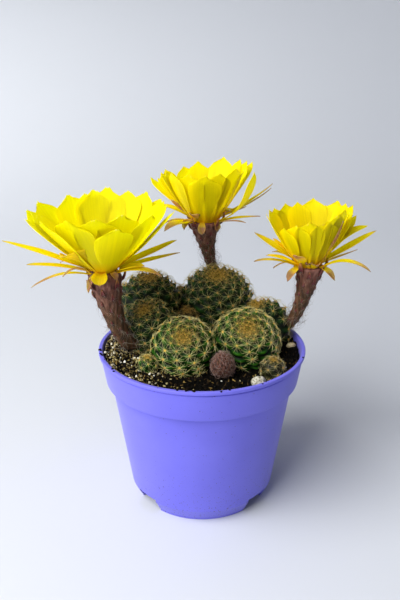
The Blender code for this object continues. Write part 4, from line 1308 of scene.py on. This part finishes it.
# %% [markdown]
# Each blade is a row of numbers. They are its turn round the flower's axis, its slope, its length
# from the axis, its width, its bow, its brown and its roll. The bow is how far its middle stands
# off the straight line, as a share of its length. The brown is how withered it is, and the roll
# how far it tips to one side. A turn of 0 degrees faces right and one of -90 the front.
#
# A ring of equal petals would be a shorter table. These rows were chosen, because no two petals
# of a real flower are alike. The blades that the photograph shows follow it, and those behind are
# set in the same rhythm.

# %% Tables of petals and tepals
Blade = namedtuple("Blade", "turn slope length width bow brown roll", defaults=(-0.04, 0.0, 0.0))
PETALS = {
    "flower_left": (
        (162, 34, 38, 11), (150, 37, 38, 13), (127, 41, 36, 16), (112, 42, 35, 11),
        (103, 43, 36, 13), (90, 43, 37, 15), (72, 42, 36, 14), (56, 40, 37, 12),
        (45, 36, 37, 12), (28, 42, 35, 11), (10, 44, 35, 12), (-8, 41, 37, 12),
        (-32, 48, 35, 14),
        (-62, 53, 35, 16), (-70, 45, 34.5, 14), (-88, 52, 35, 16), (-113, 50, 35, 16),
        (-138, 45, 36, 15), (-158, 41, 36.5, 13), (178, 42, 35, 13)),
    "flower_back": (
        (145, 36, 30, 8), (141, 40, 30, 9), (157, 46, 27.5, 10), (-148, 53, 28, 11),
        (115, 40, 30.5, 10), (98, 45, 31, 10.5), (84, 41, 30, 8), (66, 49.5, 32, 11.5),
        (40, 51, 31.5, 8), (26, 51, 31.5, 8), (33, 43, 34, 6), (-28, 46, 32, 9, -0.2),
        (-118, 56, 27.5, 12), (-92, 54, 27.5, 14), (-70, 56, 28, 12), (-40, 57, 29.5, 12),
        (-14, 54, 28, 10), (8, 51, 29, 9), (178, 47, 28, 10), (144, 26, 34, 5),
        (139, 27, 32, 3.5)),
    "flower_right": (
        (-178, 51, 28.5, 10), (129, 45, 29, 10), (114, 46, 30, 11), (100, 50, 29, 10),
        (79, 49, 31, 12), (48, 48, 31, 13), (34, 50, 30, 9), (20, 50, 30, 8),
        (27, 38, 29, 6), (18, 28, 29.5, 5.5, 0.12), (-100, 58, 25.5, 12), (-73, 58, 25.5, 12),
        (-52, 59, 28, 11), (-36, 60, 29, 10), (-146, 52, 23, 10), (-124, 56, 24, 11),
        (152, 50, 28, 10), (-12, 56, 27, 10), (5, 52, 28, 9), (64, 45, 29, 11)),
}
TEPALS = {
    "flower_left": (
        (-159, 25, 40, 5, 0, 0), (-155, 14, 30, 3.4, 0.03, 0.12),
        (-150, -2, 29, 1.8, 0.12, 0.5), (-141, 6, 18, 1.5, 0.20, 0.9),
        (-97, -25, 8.8, 6.2, 0.14, 0.10), (-122, -30, 12, 2.4, 0.12, 0.8),
        (154, -2, 21, 1, 0.15, 0.9), (29, 11, 32, 4.8, -0.02, 0),
        (22, 4, 31, 3.2, 0, 0.30), (-22, 13, 18, 4.8, 0.02, 0), (-25, 3, 25, 3.4, 0.10, 0.40),
        (-50, -16, 8, 2.8, 0.12, 0.9), (60, 8, 27, 3.6, 0.05, 0.1), (85, 2, 24, 3.2, 0.08, 0.3),
        (110, 12, 27, 3.6, 0.02, 0.1), (132, 4, 25, 3.2, 0.06, 0.2),
        (-131, 29, 23, 16, 0.08, 0, 0.35)),
    "flower_back": (
        (155, 8, 27, 4, 0.07, 0), (157, 24, 18, 4, -0.05, 0.8),
        (-146, -7, 21, 7, 0.12, 0.5), (-148, 3, 20, 1.4, 0.10, 0.8),
        (-140, -14, 12, 4.4, 0.20, 0.9), (25, 22, 36, 1.9, -0.06, 0.2),
        (26, 19, 35, 1.3, -0.06, 0.6), (30, 9, 22, 1.4, 0, 0.9), (-25, 10, 26, 2.8, 0.02, 0.3),
        (-30, 4, 20, 1.3, 0.05, 0.9), (-100, -33, 9, 3.4, 0.10, 0.80),
        (-26, 36, 12, 5.8, 0, 0.9), (-66, 30, 9, 5.4, 0.12, 0.8), (-125, 22, 12, 5.4, 0.06, 0.8),
        (-45, -30, 8, 3.4, 0.1, 0.9), (-5, 20, 12, 4.4, 0.10, 0.7), (70, 6, 24, 3.4, 0.05, 0.2),
        (100, 14, 26, 3.6, 0, 0.1), (126, 8, 25, 3.2, 0.05, 0.3), (50, 2, 22, 3.2, 0.08, 0.3)),
    "flower_right": (
        (146, 22, 28, 5.2, -0.03, 0.10), (148, 29, 19, 3.6, -0.02, 0),
        (-164, 18, 20, 4.4, 0.04, 0.05), (-167, 9, 24, 2.6, 0.08, 0.30),
        (147, -14, 17, 2.1, 0.10, 0.8), (-150, -24, 12.4, 4.2, 0.04, 0.70),
        (-38, -21, 12.8, 4.2, 0.04, 0.70), (-38, 4, 27, 3.6, 0.17, 0.35),
        (16, 11, 22, 1.5, 0, 0.9), (17, 21, 32, 5, -0.03, 0),
        (-45, 54, 26, 2, -0.08, 0.75), (-128, 32, 14, 6, -0.04, 0.50),
        (-75, 12, 8, 4.6, 0.15, 0.5), (-105, 20, 8, 4.6, 0.1, 0.8),
        (62, 10, 24, 3.6, 0.05, 0.1), (85, 4, 22, 3.2, 0.08, 0.3),
        (110, 14, 24, 3.4, 0, 0.1), (128, 2, 22, 3.2, 0.08, 0.3)),
}
print("blades:", {name: (len(PETALS[name]), len(TEPALS[name])) for name in FLOWERS})

# %% From the tables to pieces and stands
HANGING = -10.0  # below this slope a blade bends over from the cup's foot
HANGING_FOOT = (0.5, 0.2)  # how far out and up from the cup's hub it starts
BOWED_AT = (0.36, 0.70)  # shares of the length where a blade is bowed


def place_blades(name, flower, rows, hub, drop, climb, shape):
    """A piece and a stand for each blade; a piece starts at the hub, higher if it is steep."""
    pieces, stands = [], []
    for number, row in enumerate(rows):
        blade = Blade(*row)
        slope = radians(blade.slope)
        start = Vector((hub, climb * blade.slope - drop))
        if blade.slope < HANGING:
            out, up = HANGING_FOOT
            start = Vector((flower.cup_hub * flower.throat_radius + out, up))
        end = blade.length * Vector((cos(slope), sin(slope)))
        across = (end - start).normalized()
        bowed = blade.bow * blade.length * Vector((-across.y, across.x))
        route = (start, *[start.lerp(end, share) + bowed for share in BOWED_AT], end)
        pieces.append(blade_mesh("blade", route, blade.width, roll=blade.roll,
                                 seed=number, **shape))
        stands.append((blade.turn, 0.0, 1.0, number, blade.brown))
    return shelf(name + "_blade", pieces), round_axis(flower, flower.cup_foot, stands)

# %% Petals of a cup
PETAL_SHAPE = {"thickness": 0.14, "widest": 0.74, "base": 0.30, "hollow": 0.08, "fold": 0.3,
               "wave": 0.3, "steps": 14, "across": 12, "swell": 1.8, "closing": 2.2}
INNER_PETALS = 8
INNER_SLOPES = (56, 60, 64)
INNER_SIZE = (0.54, 0.36)  # length and width as shares of the cup's radius
INNER_STAGGER = 7.0  # degrees, one way and the other by turns


def build_petals(name, flower, number):
    """The cup: the petals of the table and a short inner whorl round the stamens."""
    length, width = [share * flower.cup_radius for share in INNER_SIZE]
    inner = [(360.0 * (place + 0.5) / INNER_PETALS + INNER_STAGGER * (-1) ** place,
              INNER_SLOPES[place % len(INNER_SLOPES)], length, width)
             for place in range(INNER_PETALS)]
    blades, stands = place_blades(name, flower, (*PETALS[name], *inner),
                                  flower.cup_hub * flower.throat_radius, 0.0, 0.0,
                                  {**PETAL_SHAPE, "blunt": flower.blunt, "teeth": flower.teeth})
    return fan(name + "_cup", "petal_yellow", name + "_petals", stands, blades, PETAL[name],
               Seed=40 + number)

# %% [markdown]
# The outer tepals are narrow, stiff and pointed. They are ochre, turn brown toward the tip as they
# wither, and the longest reach well past the cup. The short ones at the foot stay brown and pink,
# like the scales. They are the same blades as the petals with another shape and finish, because a
# flower really changes from scale to tepal to petal in small steps.

# %% Tepals
TEPAL_CLIMB = 0.07  # millimetres that a foot stands higher for each degree
TEPAL_HUB = 0.90  # share of the throat's radius
TEPAL_DROP = 0.7
TEPAL_SHAPE = {"thickness": 0.2, "widest": 0.50, "base": 0.55, "hollow": 0.4, "fold": 0.1,
               "wave": 0.2, "steps": 11, "across": 4}


def build_outer_tepals(name, flower, number):
    blades, stands = place_blades(name, flower, TEPALS[name], TEPAL_HUB * flower.throat_radius,
                                  TEPAL_DROP, TEPAL_CLIMB, TEPAL_SHAPE)
    return fan(name + "_spread", "tepal_ochre", name + "_tepals", stands, blades, TEPAL,
               Seed=60 + number)

# %% [markdown]
# ## The flower tube
#
# The tube is a scaly stem, brown and maroon. The sweep rule lays a round section along the same
# path as the solid's. Pointed scales stand on it in a spiral and lie upward, larger toward the
# throat, and each bears a tuft of fine curly hair in its corner. A bumpy material could stand in
# for scales and hair, but they break the outline against the paper, so they are real mesh.

# %% Tube material
RECEPTACLE = ((0.3, 0.98), (0.6, 0.88), (0.85, 0.78), (1.05, 0.6))  # shares of rise and width


def tube_skin():
    """Soft ribbed bark-like skin, maroon above and olive brown below."""
    made, tree, shader = new_material("maroon tube skin", Roughness=0.7, IOR=1.35,
                                      Subsurface_Weight=0.05, Subsurface_Scale=0.001)
    place = add_node(tree, "ShaderNodeTexCoord").outputs["Object"]
    # The fibres are 1.1 mm wide and 6 mm long.
    streaks = add_node(tree, "ShaderNodeMapping", {
        "Vector": place, "Scale": (900.0, 900.0, 160.0)})
    fibre = add_node(tree, "ShaderNodeTexNoise", {"Vector": streaks, "Scale": 1.0, "Detail": 3.0})
    old, young = [add_node(tree, "ShaderNodeValToRGB", {"Fac": fibre},
                           stops=stops).outputs["Color"] for stops in (
        ((0.28, "#20130A"), (0.46, "#442E18"), (0.62, "#5E3E28"), (0.80, "#86604C")),
        ((0.28, "#3A1E18"), (0.50, "#6E4438"), (0.80, "#A07466")))]
    upper = add_node(tree, "ShaderNodeAttribute", attribute_name="upper").outputs["Fac"]
    age = add_node(tree, "ShaderNodeMapRange", {"Value": upper, "From Min": 0.70, "From Max": 1.0})
    tone = add_node(tree, "ShaderNodeMix", data_type="RGBA", inputs={0: age, 6: old, 7: young})
    finish_look(tree, shader, tone.outputs[2], fibre, 0.5, 0.0004)
    return made


TUBE_SKIN = tube_skin()
# Thin dead hair is dull, and each hair somewhere between brown and grey.
HAIR = coloured_by("tint", "grey silky hair", ((0.0, "#3A2E26"), (1.0, "#B4A894")), Roughness=0.6)

# %% Scales and hairs
scales = shelf("scale", [
    blade_mesh("scale", ((-0.5, -0.2), (0.8, 0.35), (0.6 * length, 0.3), (length, 0.1)), 1.3,
               0.25, widest=0.3, base=0.7, hollow=0.5, fold=0.0, wave=0.05, steps=5, across=2,
               seed=int(10 * length)) for length in (2.6, 3.2)])
hairs = bristles("hair", 0.04, ((4.4, 0.9, 0.6, 0.22), (3.2, 0.7, -0.8, -0.3),
                                (5.4, 0.6, 1.6, 0.15)), steps=4, tip_share=0.4)

# %% Stem of a flower
TUBE_STEPS = 40
TUBE_SIDES = 28
TUBE_SHARP_FROM = 50.0  # degrees


def build_stem(name, flower, path):
    """The swept tube, which closes above its throat as the foot that carries the cup."""
    last = TUBE_STEPS - 1
    path = list(path)
    widths = [tube_radius(flower, place / last) for place in range(TUBE_STEPS)]
    for rise, share in RECEPTACLE:
        path.append(Vector(flower.throat) + flower_axis(flower) * rise * flower.cup_foot)
        widths.append(share * flower.throat_radius)
    chain = bpy.data.meshes.new(name + "_path")
    chain.from_pydata([(POT_AXIS + point) * MM for point in path],
                      [(place, place + 1) for place in range(len(path) - 1)], [])
    set_values(chain, "thickness", [width * MM for width in widths])
    set_values(chain, "upper", [min(1.0, place / last) for place in range(len(path))])
    stem = grow(name + "_stem", chain, SWEPT, {"Sides": TUBE_SIDES, "Material": TUBE_SKIN})
    stem.data.shade_smooth()
    stem.data.set_sharp_from_angle(angle=radians(TUBE_SHARP_FROM))
    return fit(stem, "tube_skin", name + "_tube")

# %% Spiral of scales
SCALES = 48
GOLDEN_ANGLE = radians(137.5)
FIRST_SCALE = 0.06  # share of the tube below the first scale
SCALE_CROWDING = 0.6  # power below one: closer together toward the throat
SCALE_SUNK = 0.1
SPIRAL_START = Vector((0.3, 1.0, 0.1))
LAST_GROWTH = 8  # power: only the topmost scales are much larger


def scale_stands(flower, path, chance):
    """A stand for each scale, facing out from the tube, with its up side toward the throat."""
    stands = []
    for place in range(SCALES):
        share = FIRST_SCALE + (1.0 - FIRST_SCALE) * (place / (SCALES - 1)) ** SCALE_CROWDING
        at = share * (TUBE_STEPS - 1)
        low = min(TUBE_STEPS - 2, int(at))
        along = (path[low + 1] - path[low]).normalized()
        side = along.cross(SPIRAL_START).normalized()
        facing = Matrix.Rotation(GOLDEN_ANGLE * place, 3, along) @ side
        spot = path[low].lerp(path[low + 1], at - low)
        spot = spot + facing * (tube_radius(flower, share) - SCALE_SUNK)
        top = share ** LAST_GROWTH
        stands.append(Stand(spot, facing, along, size=0.45 + 0.3 * share + 1.1 * top,
                            lift=radians(chance.uniform(0.0, 5.0) + 22.0 * top),
                            pick=float(place), shade=0.7 * share ** 10))
    return stands


def build_tube(name, flower, number):
    path = tube_path(flower, TUBE_STEPS)
    build_stem(name, flower, path)
    stands = scale_stands(flower, path, random.Random(name + "tube"))
    fan(name + "_scales", "tube_skin", name + "_tube", stands, scales, SCALE_SKIN,
        Seed=70 + number)
    tufts = [stand._replace(size=0.7 + 0.9 * (1.0 - place / SCALES) ** 4)
             for place, stand in enumerate(stands)]
    fan(name + "_hair", "tube_skin", name + "_tube", tufts, hairs, HAIR, Copies=15,
        Turn_Jitter=radians(30.0), Lean=radians(26.0), Lean_Jitter=radians(24.0),
        Side_Bias=-0.3, Scale_Min=0.35, Scale_Max=0.9, Seed=80 + 10 * number)

# %% [markdown]
# ## Stamens and style
#
# Inside the cup forty thin stamens stand in three rings and lean outward, each with a small
# pollen sac at its tip. A larger one in the middle stands for the style. From the side they
# are hidden, so one thread and one ball for each is enough, and the fan rule sets them.

# %% Stamens
STAMEN_WHORLS = ((16, 62.0), (14, 70.0), (10, 78.0))  # count and slope, the outermost first
STAMEN_LENGTH = 0.40  # share of the cup's radius
STAMEN_FOOT = 4.4
SAC = (0.75, 0.42, 0.42)  # half sizes of a pollen sac
STYLE_SIZE = 1.45


def stamen_mesh(name, length):
    """A thread with a pollen sac at its end, along +X."""
    thread = bristle(name, length, 0.13, 0.6, 0.0, steps=4, tip_share=0.7)
    points = [vertex.co / MM for vertex in thread.vertices]
    faces = [tuple(face.vertices) for face in thread.polygons]
    sac_points, sac_faces = ball(1)
    faces += [tuple(len(points) + index for index in face) for face in sac_faces]
    points += [Vector((length, 0.0, 0.0)) + point * Vector(SAC) for point in sac_points]
    mesh = make_mesh(name, points, faces, LOCAL)
    set_values(mesh, "along", [min(1.0, point.x / length) for point in points])
    return mesh


# The threads are pale and the pollen at their ends powdery, so neither shines.
POLLEN = coloured_by("along", "pollen on pale threads", (
    (0.0, "#B9B24A"), (0.80, "#E6DA7A"), (0.90, "#F0C53A")), Roughness=0.8)


def build_stamens(name, flower, number):
    length = STAMEN_LENGTH * flower.cup_radius
    stands = []
    chance = random.Random(name + "stamens")
    for ring_number, (count, lift) in enumerate(STAMEN_WHORLS):
        for place in range(count):
            angle = 360.0 * (place + 0.5 * ring_number) / count
            stands.append((angle + chance.uniform(-6.0, 6.0), lift + chance.uniform(-5.0, 5.0),
                           chance.uniform(0.85, 1.15), place, 0.0))
    stands.append((0.0, 90.0, STYLE_SIZE, 2, 0.0))
    pieces = shelf(name + "_stamen", [stamen_mesh("stamen", share * length)
                                      for share in (1.0, 0.9)])
    return fan(name + "_pollen", "stamen_yellow", name + "_stamens",
               round_axis(flower, STAMEN_FOOT, stands), pieces, POLLEN, Seed=90 + number)


for number, (name, flower) in enumerate(FLOWERS.items()):
    build_tube(name, flower, number)
    build_outer_tepals(name, flower, number)
    build_petals(name, flower, number)
    build_stamens(name, flower, number)

# %% [markdown]
# ## The soil
#
# The pot is filled with dark peat to about 5 mm under its rim. The surface is loose: crumbs of
# peat, slivers of bark and many white grains of perlite, thickest on the left. A displaced plane
# would look the same from above, but the solid under it is a closed block. So a closed mass with
# noise in its height was chosen, and it carries four strewn layers.

# %% Height of the soil
HUMP_SIZE = 9.0
CRUMB_SIZE = 2.2
CRUMB_SHARE = 0.55  # of the humps' height
SOIL_RELIEF = 0.9
HEAP = 2.6
HEAP_SLOPE = (-0.95, -0.3, 8.0, 28.0)  # direction, start and width of the rise to the left
BANK = 2.7
BANK_SLOPE = (29.0, 9.5)  # radius where the bank begins, and its width
BANK_BEHIND = (-20.0, 14.0)  # from here to the back there is a bank
RIM_SHOWS = 0.7  # how far the highest soil stays below the rim


def smooth_step(value):
    share = max(0.0, min(1.0, value))
    return share * share * (3.0 - 2.0 * share)


def heaped(x, y):
    """Nought to one: how far up the heap on the left a spot lies."""
    along, across, start, width = HEAP_SLOPE
    return smooth_step((along * x + across * y - start) / width)


def banked(x, y):
    """Nought to one: how far up the bank along the wall, behind and at the sides, a spot lies."""
    (inner, width), (front, depth) = BANK_SLOPE, BANK_BEHIND
    return smooth_step((hypot(x, y) - inner) / width) * smooth_step((y - front) / depth)


def soil_height(x, y):
    """Height of the surface: wide humps with crumbs on them, a heap and a bank."""
    humps = noise.noise(Vector((x / HUMP_SIZE, y / HUMP_SIZE, 3.0)))
    crumbs = noise.noise(Vector((x / CRUMB_SIZE, y / CRUMB_SIZE, 7.0)))
    heap = HEAP * heaped(x, y) + BANK * banked(x, y)
    return min(SOIL_TOP + SOIL_RELIEF * (humps + CRUMB_SHARE * crumbs) + heap,
               POT_HEIGHT - RIM_SHOWS)


print("soil height at the pot's axis:", round(soil_height(0.0, 0.0), 2), "mm")

# %% Soil mass
SOIL_SIDES = 120
SOIL_ROWS = 56
FIRST_ROW = 0.4  # share of a row from the middle to the first ring
SOIL_CLEAR = 0.45  # from the pot's wall
OPEN_MARGIN = 0.5  # crumbs may lie this far under a head


def is_open(x, y):
    """One where a spot of the surface is clear of every head, and nought under a head."""
    for head in HEADS.values():
        low = max(0.0, head.centre[2] - SOIL_TOP)
        across = sqrt(max(0.0, head.radius ** 2 - low ** 2))
        if (Vector((x, y)) - Vector(head.centre[:2])).length < across - OPEN_MARGIN:
            return 0.0
    return 1.0


def build_soil():
    """A closed block that fills the pot, with a value on its top for where crumbs may lie."""
    down = (LIP_Z - SOIL_TOP) / (LIP_Z - COLLAR_FOOT_Z)
    wall = COLLAR_TOP_RADIUS - WALL + (COLLAR_FOOT_RADIUS - COLLAR_TOP_RADIUS) * down
    rows = []
    for step in range(SOIL_ROWS):
        radius = (wall - SOIL_CLEAR) * (step + FIRST_ROW) / (SOIL_ROWS - 1 + FIRST_ROW)
        points = ring(radius, 0.0, SOIL_SIDES)
        for point in points:
            point.z = soil_height(point.x, point.y)
        rows.append(points)
    lower = ((COLLAR_FOOT_RADIUS - WALL - SOIL_CLEAR, COLLAR_FOOT_Z + 0.4),
             (BODY_TOP_RADIUS - WALL - SOIL_CLEAR, COLLAR_FOOT_Z - WALL - 0.3),
             (BODY_FOOT_RADIUS - WALL - SOIL_CLEAR, FLOOR_Z + FLOOR_THICKNESS + 0.3))
    rows += [ring(radius, z, SOIL_SIDES) for radius, z in lower]
    points, faces = lathe(rows, SOIL_SIDES)
    mesh = make_mesh("soil_mass", points, faces)
    on_top = SOIL_ROWS * SOIL_SIDES
    set_values(mesh, "open", [is_open(point.x, point.y) if index < on_top else 0.0
                              for index, point in enumerate(points)])
    return fit(add_object("soil_mass", mesh, PEAT), "dark_soil", "soil")

# %% [markdown]
# Peat is brown black and quite matt when damp. Perlite is glass popped by heat into white foam,
# and bark slivers are red brown. Each crumb takes one colour from its tint. A picture of soil
# would be quicker, but crumbs that are real mesh throw their own small shadows in this low light.

# %% Soil materials
def peat():
    """Damp peat: brown black fibres with no shine but small wet glints."""
    made, tree, shader = new_material("damp peat", Roughness=0.9, Specular_IOR_Level=0.05)
    place = add_node(tree, "ShaderNodeTexCoord").outputs["Object"]
    # Peat fibres are drawn at 0.7 mm, which is about their real size.
    crumb = add_node(tree, "ShaderNodeTexNoise", {
        "Vector": place, "Scale": 1500.0, "Detail": 4.0, "Roughness": 0.7})
    tone = add_node(tree, "ShaderNodeValToRGB", {"Fac": crumb}, stops=(
        (0.30, "#020202"), (0.55, "#0A0806"), (0.78, "#1E1710")))
    finish_look(tree, shader, tone, crumb, 0.9, 0.0006)
    return made


def crumb_skin(name, dark, middle, fair, roughness=0.85):
    """Dry and rough, with one colour for each crumb by its tint and a grain of 0.5 mm on it."""
    made, tree, shader = new_material(name, Roughness=roughness, Specular_IOR_Level=0.08)
    tint = add_node(tree, "ShaderNodeAttribute", attribute_name="tint").outputs["Fac"]
    place = add_node(tree, "ShaderNodeTexCoord").outputs["Object"]
    grain = add_node(tree, "ShaderNodeTexNoise", {"Vector": place, "Scale": 2000.0, "Detail": 2.0})
    mixed = add_node(tree, "ShaderNodeMath", operation="MULTIPLY_ADD", inputs={
        0: grain, 1: 0.4, 2: -0.2})
    level = add_node(tree, "ShaderNodeMath", {0: tint, 1: mixed}, operation="ADD", use_clamp=True)
    tone = add_node(tree, "ShaderNodeValToRGB", {"Fac": level}, stops=(
        (0.0, dark), (0.6, middle), (1.0, fair)))
    finish_look(tree, shader, tone, grain, 0.5, 0.0003)
    return made


PEAT = peat()
CRUMB = crumb_skin("peat crumbs", "#020201", "#080604", "#1E170F")
BARK = crumb_skin("composted bark slivers", "#1E150D", "#4C3A20", "#A88A4A")
PERLITE = crumb_skin("popped white perlite", "#3A3018", "#A8975C", "#FFFDF0", 0.7)
GRIT = crumb_skin("cream fibre and grit", "#3E3014", "#8A7440", "#CFC08C")
print("soil materials:", [made.name for made in (PEAT, CRUMB, BARK, PERLITE, GRIT)])

# %% Crumbs
LUMP_STRETCH = (0.65, 1.15)  # of a lump's three sizes, by chance
LUMP_DENT = (0.72, 1.15)  # of each of its points


def lumps(name, size, first_seed, count):
    """A shelf of small uneven stones, each stretched and dented by its own seed."""
    ball_points, faces = ball(1)
    meshes = []
    for seed in range(first_seed, first_seed + count):
        chance = random.Random(seed)
        stretch = Vector([chance.uniform(*LUMP_STRETCH) for _ in range(3)])
        points = [Vector(size) * (stretch * point) * chance.uniform(*LUMP_DENT)
                  for point in ball_points]
        meshes.append(make_mesh(name, points, faces, LOCAL, smooth=False))
    return shelf(name, meshes)


crumbs = lumps("crumb", (0.8, 0.7, 0.6), 0, 5)
slivers = lumps("sliver", (1.5, 0.4, 0.3), 20, 4)
grains = lumps("grain", (0.8, 0.65, 0.6), 40, 4)

# %% Strewn layers
PER_SQUARE_CM = 1e4  # to the square metre, as the rule counts
GRIT_ELSEWHERE = 0.02  # share of the heap's grit that lies off the heap
LAYERS = (  # density to the square centimetre, smallest, largest
    ("soil_crumbs", crumbs, CRUMB, 60.0, 0.4, 1.3, False),
    ("soil_bark", slivers, BARK, 12.0, 0.4, 1.1, False),
    ("soil_perlite", grains, PERLITE, 62.0, 0.2, 1.35, True),
    ("soil_grit", slivers, GRIT, 60.0, 0.25, 0.9, True),
)

soil = build_soil()
for seed, (name, pieces, material, density, low, high, on_heap) in enumerate(LAYERS, start=1):
    ground = soil.data.copy()
    if on_heap:
        for vertex, value in zip(ground.vertices, ground.attributes["open"].data):
            spot = vertex.co / MM - POT_AXIS
            value.value *= (GRIT_ELSEWHERE
                            + (1.0 - GRIT_ELSEWHERE) * heaped(spot.x, spot.y) ** 2)
    fit(grow(name, ground, SCATTER, {
        "Pieces": pieces, "Density": density * PER_SQUARE_CM, "Scale Min": low,
        "Scale Max": high, "Seed": seed, "Material": material}), "dark_soil", "soil")

# %% [markdown]
# Watering and potting leave a few crumbs on the lip. They are few and show one by one, so the fan
# rule sets one at each spot of a short list, where the scatter rule would spread them evenly.

# %% Crumbs on the lip
SPILT = ((-165, 9, 8.0), (-92, 7, 16.0), (-30, 3, 30.0), (-120, 5, 30.0))  # turn, count, reach


def spill():
    """A few crumbs in each of the groups on the lip, with their middles just above it."""
    chance = random.Random("spill")
    stands = []
    for turn, count, reach in SPILT:
        for _ in range(count):
            angle = radians(turn + chance.uniform(-reach, reach))
            radius = RIM_RADIUS - chance.uniform(0.2, 1.3)
            spot = Vector((radius * cos(angle), radius * sin(angle), POT_HEIGHT + 0.1))
            stands.append(Stand(spot, UP, RIGHT, spin=chance.uniform(0.0, 6.0),
                                size=chance.uniform(0.3, 0.9), pick=float(chance.randrange(4))))
    return fan("spilt_crumbs", "dark_soil", "soil", stands, crumbs, CRUMB, Seed=300)


spill()

# %% [markdown]
# ## Bud and stones
#
# A young bud sits at the foot of the front right head. It is wrapped in brown pink wool, with a
# few scales showing. Wool could be a soft material on a smooth egg. Small scales and curled hairs
# were chosen, because the bud stands near the front and its edge is seen against the dark soil.

# %% Bud materials and wool
WOOL = coloured_by("tint", "brown pink wool", ((0.0, "#4A3028"), (1.0, "#B89C90")), Roughness=0.6)
BUD_SKIN = cactus_skin("brown pink bud skin", "#1E100C", "#44261E", "#6E4438")
BUD_SCALE_SKIN = petal_skin("brown pink bud scale", "#3E261E", "#664236", "#8E6658",
                            aged="#8E6658", age_from=2.0, vein_and_shade_depth=0.25, glow=0.1)
wools = bristles("wool", 0.07, ((2.2, 0.6, 0.5, 0.25), (1.7, 0.8, -0.3, -0.3),
                                (2.8, 0.5, 1.0, 0.2)), steps=4, tip_share=0.4)

# %% Woolly bud
BUD_SCALES = 90
BUD_LOWEST = -0.6  # no scale stands lower, in shares of the height
BUD_TALL = 1.2
BUD_TAPER = 0.16  # share that the top is narrower and the foot wider
BUD_ROWS = 24
BUD_SIDES = 32


def bud_width(height):
    return BUD_RADIUS * sqrt(1.0 - height ** 2) * (1.0 - BUD_TAPER * height)


def bud_stand(place):
    """One of many stands spread over the bud, with its up side toward the leaning tip."""
    height = 1.0 - (1.0 - BUD_LOWEST) * (place + 0.5) / BUD_SCALES
    across = sqrt(1.0 - height ** 2)
    turn = GOLDEN_ANGLE * place
    facing = Vector((across * cos(turn), across * sin(turn), height))
    up = (Vector((-0.2, 0.0, 1.0)) - facing * height).normalized()
    swell = 1.0 - BUD_TAPER * height
    spot = BUD_AT + BUD_RADIUS * Vector((swell * facing.x, swell * facing.y, BUD_TALL * height))
    return Stand(spot, facing, up, pick=float(place))


def build_bud():
    heights = [cos(pi * step / BUD_ROWS) for step in range(1, BUD_ROWS)]
    rows = [[BUD_AT + point for point in ring(bud_width(height), BUD_TALL * BUD_RADIUS * height,
                                              BUD_SIDES)] for height in heights]
    points, faces = lathe(rows, BUD_SIDES)
    mesh = make_mesh("bud_body", points, faces)
    set_values(mesh, "ridge", [0.5 + 0.5 * sin(9.0 * point.z + 3.0 * point.x)
                               for point in points])
    stands = [bud_stand(place) for place in range(BUD_SCALES)]
    flat = [stand._replace(lift=radians(2.0), size=0.62) for stand in stands]
    fit(add_object("bud_body", mesh, BUD_SKIN), "bud_wool", "flower_bud")
    fan("bud_scales", "bud_wool", "flower_bud", flat, scales, BUD_SCALE_SKIN,
        Scale_Min=0.8, Scale_Max=1.2, Seed=190)
    fan("bud_wool", "bud_wool", "flower_bud", stands, wools, WOOL, Copies=9, Turn_Jitter=0.6,
        Lean=radians(30.0), Lean_Jitter=radians(24.0), Scale_Min=0.4,
        Scale_Max=1.0, Seed=200)


build_bud()

# %% [markdown]
# In front of the bud lies a flat disc of pumice, and a buff chip lies on the right. Both are worn
# and pitted. A scanned stone would be truer, but a ball that is dented by two sizes of noise is
# enough for a stone of 5 mm.

# %% Stones
DENTS = ((0.10, 1.7), (0.04, 6.0))  # depth as a share of the radius, and waves to it
STONE_FINENESS = 4


def stone_skin(name, pit, body, fair):
    """Broken stone or pumice: dry, pitted, no shine."""
    made, tree, shader = new_material(name, Roughness=0.9)
    place = add_node(tree, "ShaderNodeTexCoord").outputs["Object"]
    # Pits are 0.8 mm wide, and stains 1.4 mm.
    pits = add_node(tree, "ShaderNodeTexVoronoi", {"Vector": place, "Scale": 1300.0})
    cloud = add_node(tree, "ShaderNodeTexNoise", {"Vector": place, "Scale": 700.0, "Detail": 3.0})
    mixed = add_node(tree, "ShaderNodeMath", operation="MULTIPLY", inputs={0: pits, 1: cloud})
    tone = add_node(tree, "ShaderNodeValToRGB", {"Fac": mixed}, stops=(
        (0.04, pit), (0.16, body), (0.40, fair)))
    finish_look(tree, shader, tone, mixed, 0.6, 0.0004)
    return made


def build_stone(name, node, slot, size, shift, material):
    """A worn stone at the middle of its solid's box, or shifted from it, dented by noise."""
    low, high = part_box(node)
    middle = (low + high) / (2.0 * MM) + Vector(shift)
    ball_points, faces = ball(STONE_FINENESS)
    points = []
    for point in ball_points:
        dent = 1.0 + sum(depth * noise.noise(point * waves) for depth, waves in DENTS)
        points.append(middle + Vector(size) * point * dent)
    mesh = make_mesh(name, points, faces, LOCAL)
    return fit(add_object(name, mesh, material), slot, node)


build_stone("pumice_pebble", "pumice_disc", "pumice", (2.9, 2.3, 2.3), (0.4, 0.0, 0.1),
            stone_skin("pumice", "#4A4226", "#8F8A76", "#C4C0B2"))
build_stone("buff_pebble", "stone_chip", "stone_buff", (2.1, 1.6, 1.8), (1.2, 0.8, 0.7),
            stone_skin("buff limestone", "#5A4C34", "#A8966E", "#CDBE96"))

# %% Bounds of the shown pieces
low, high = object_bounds()
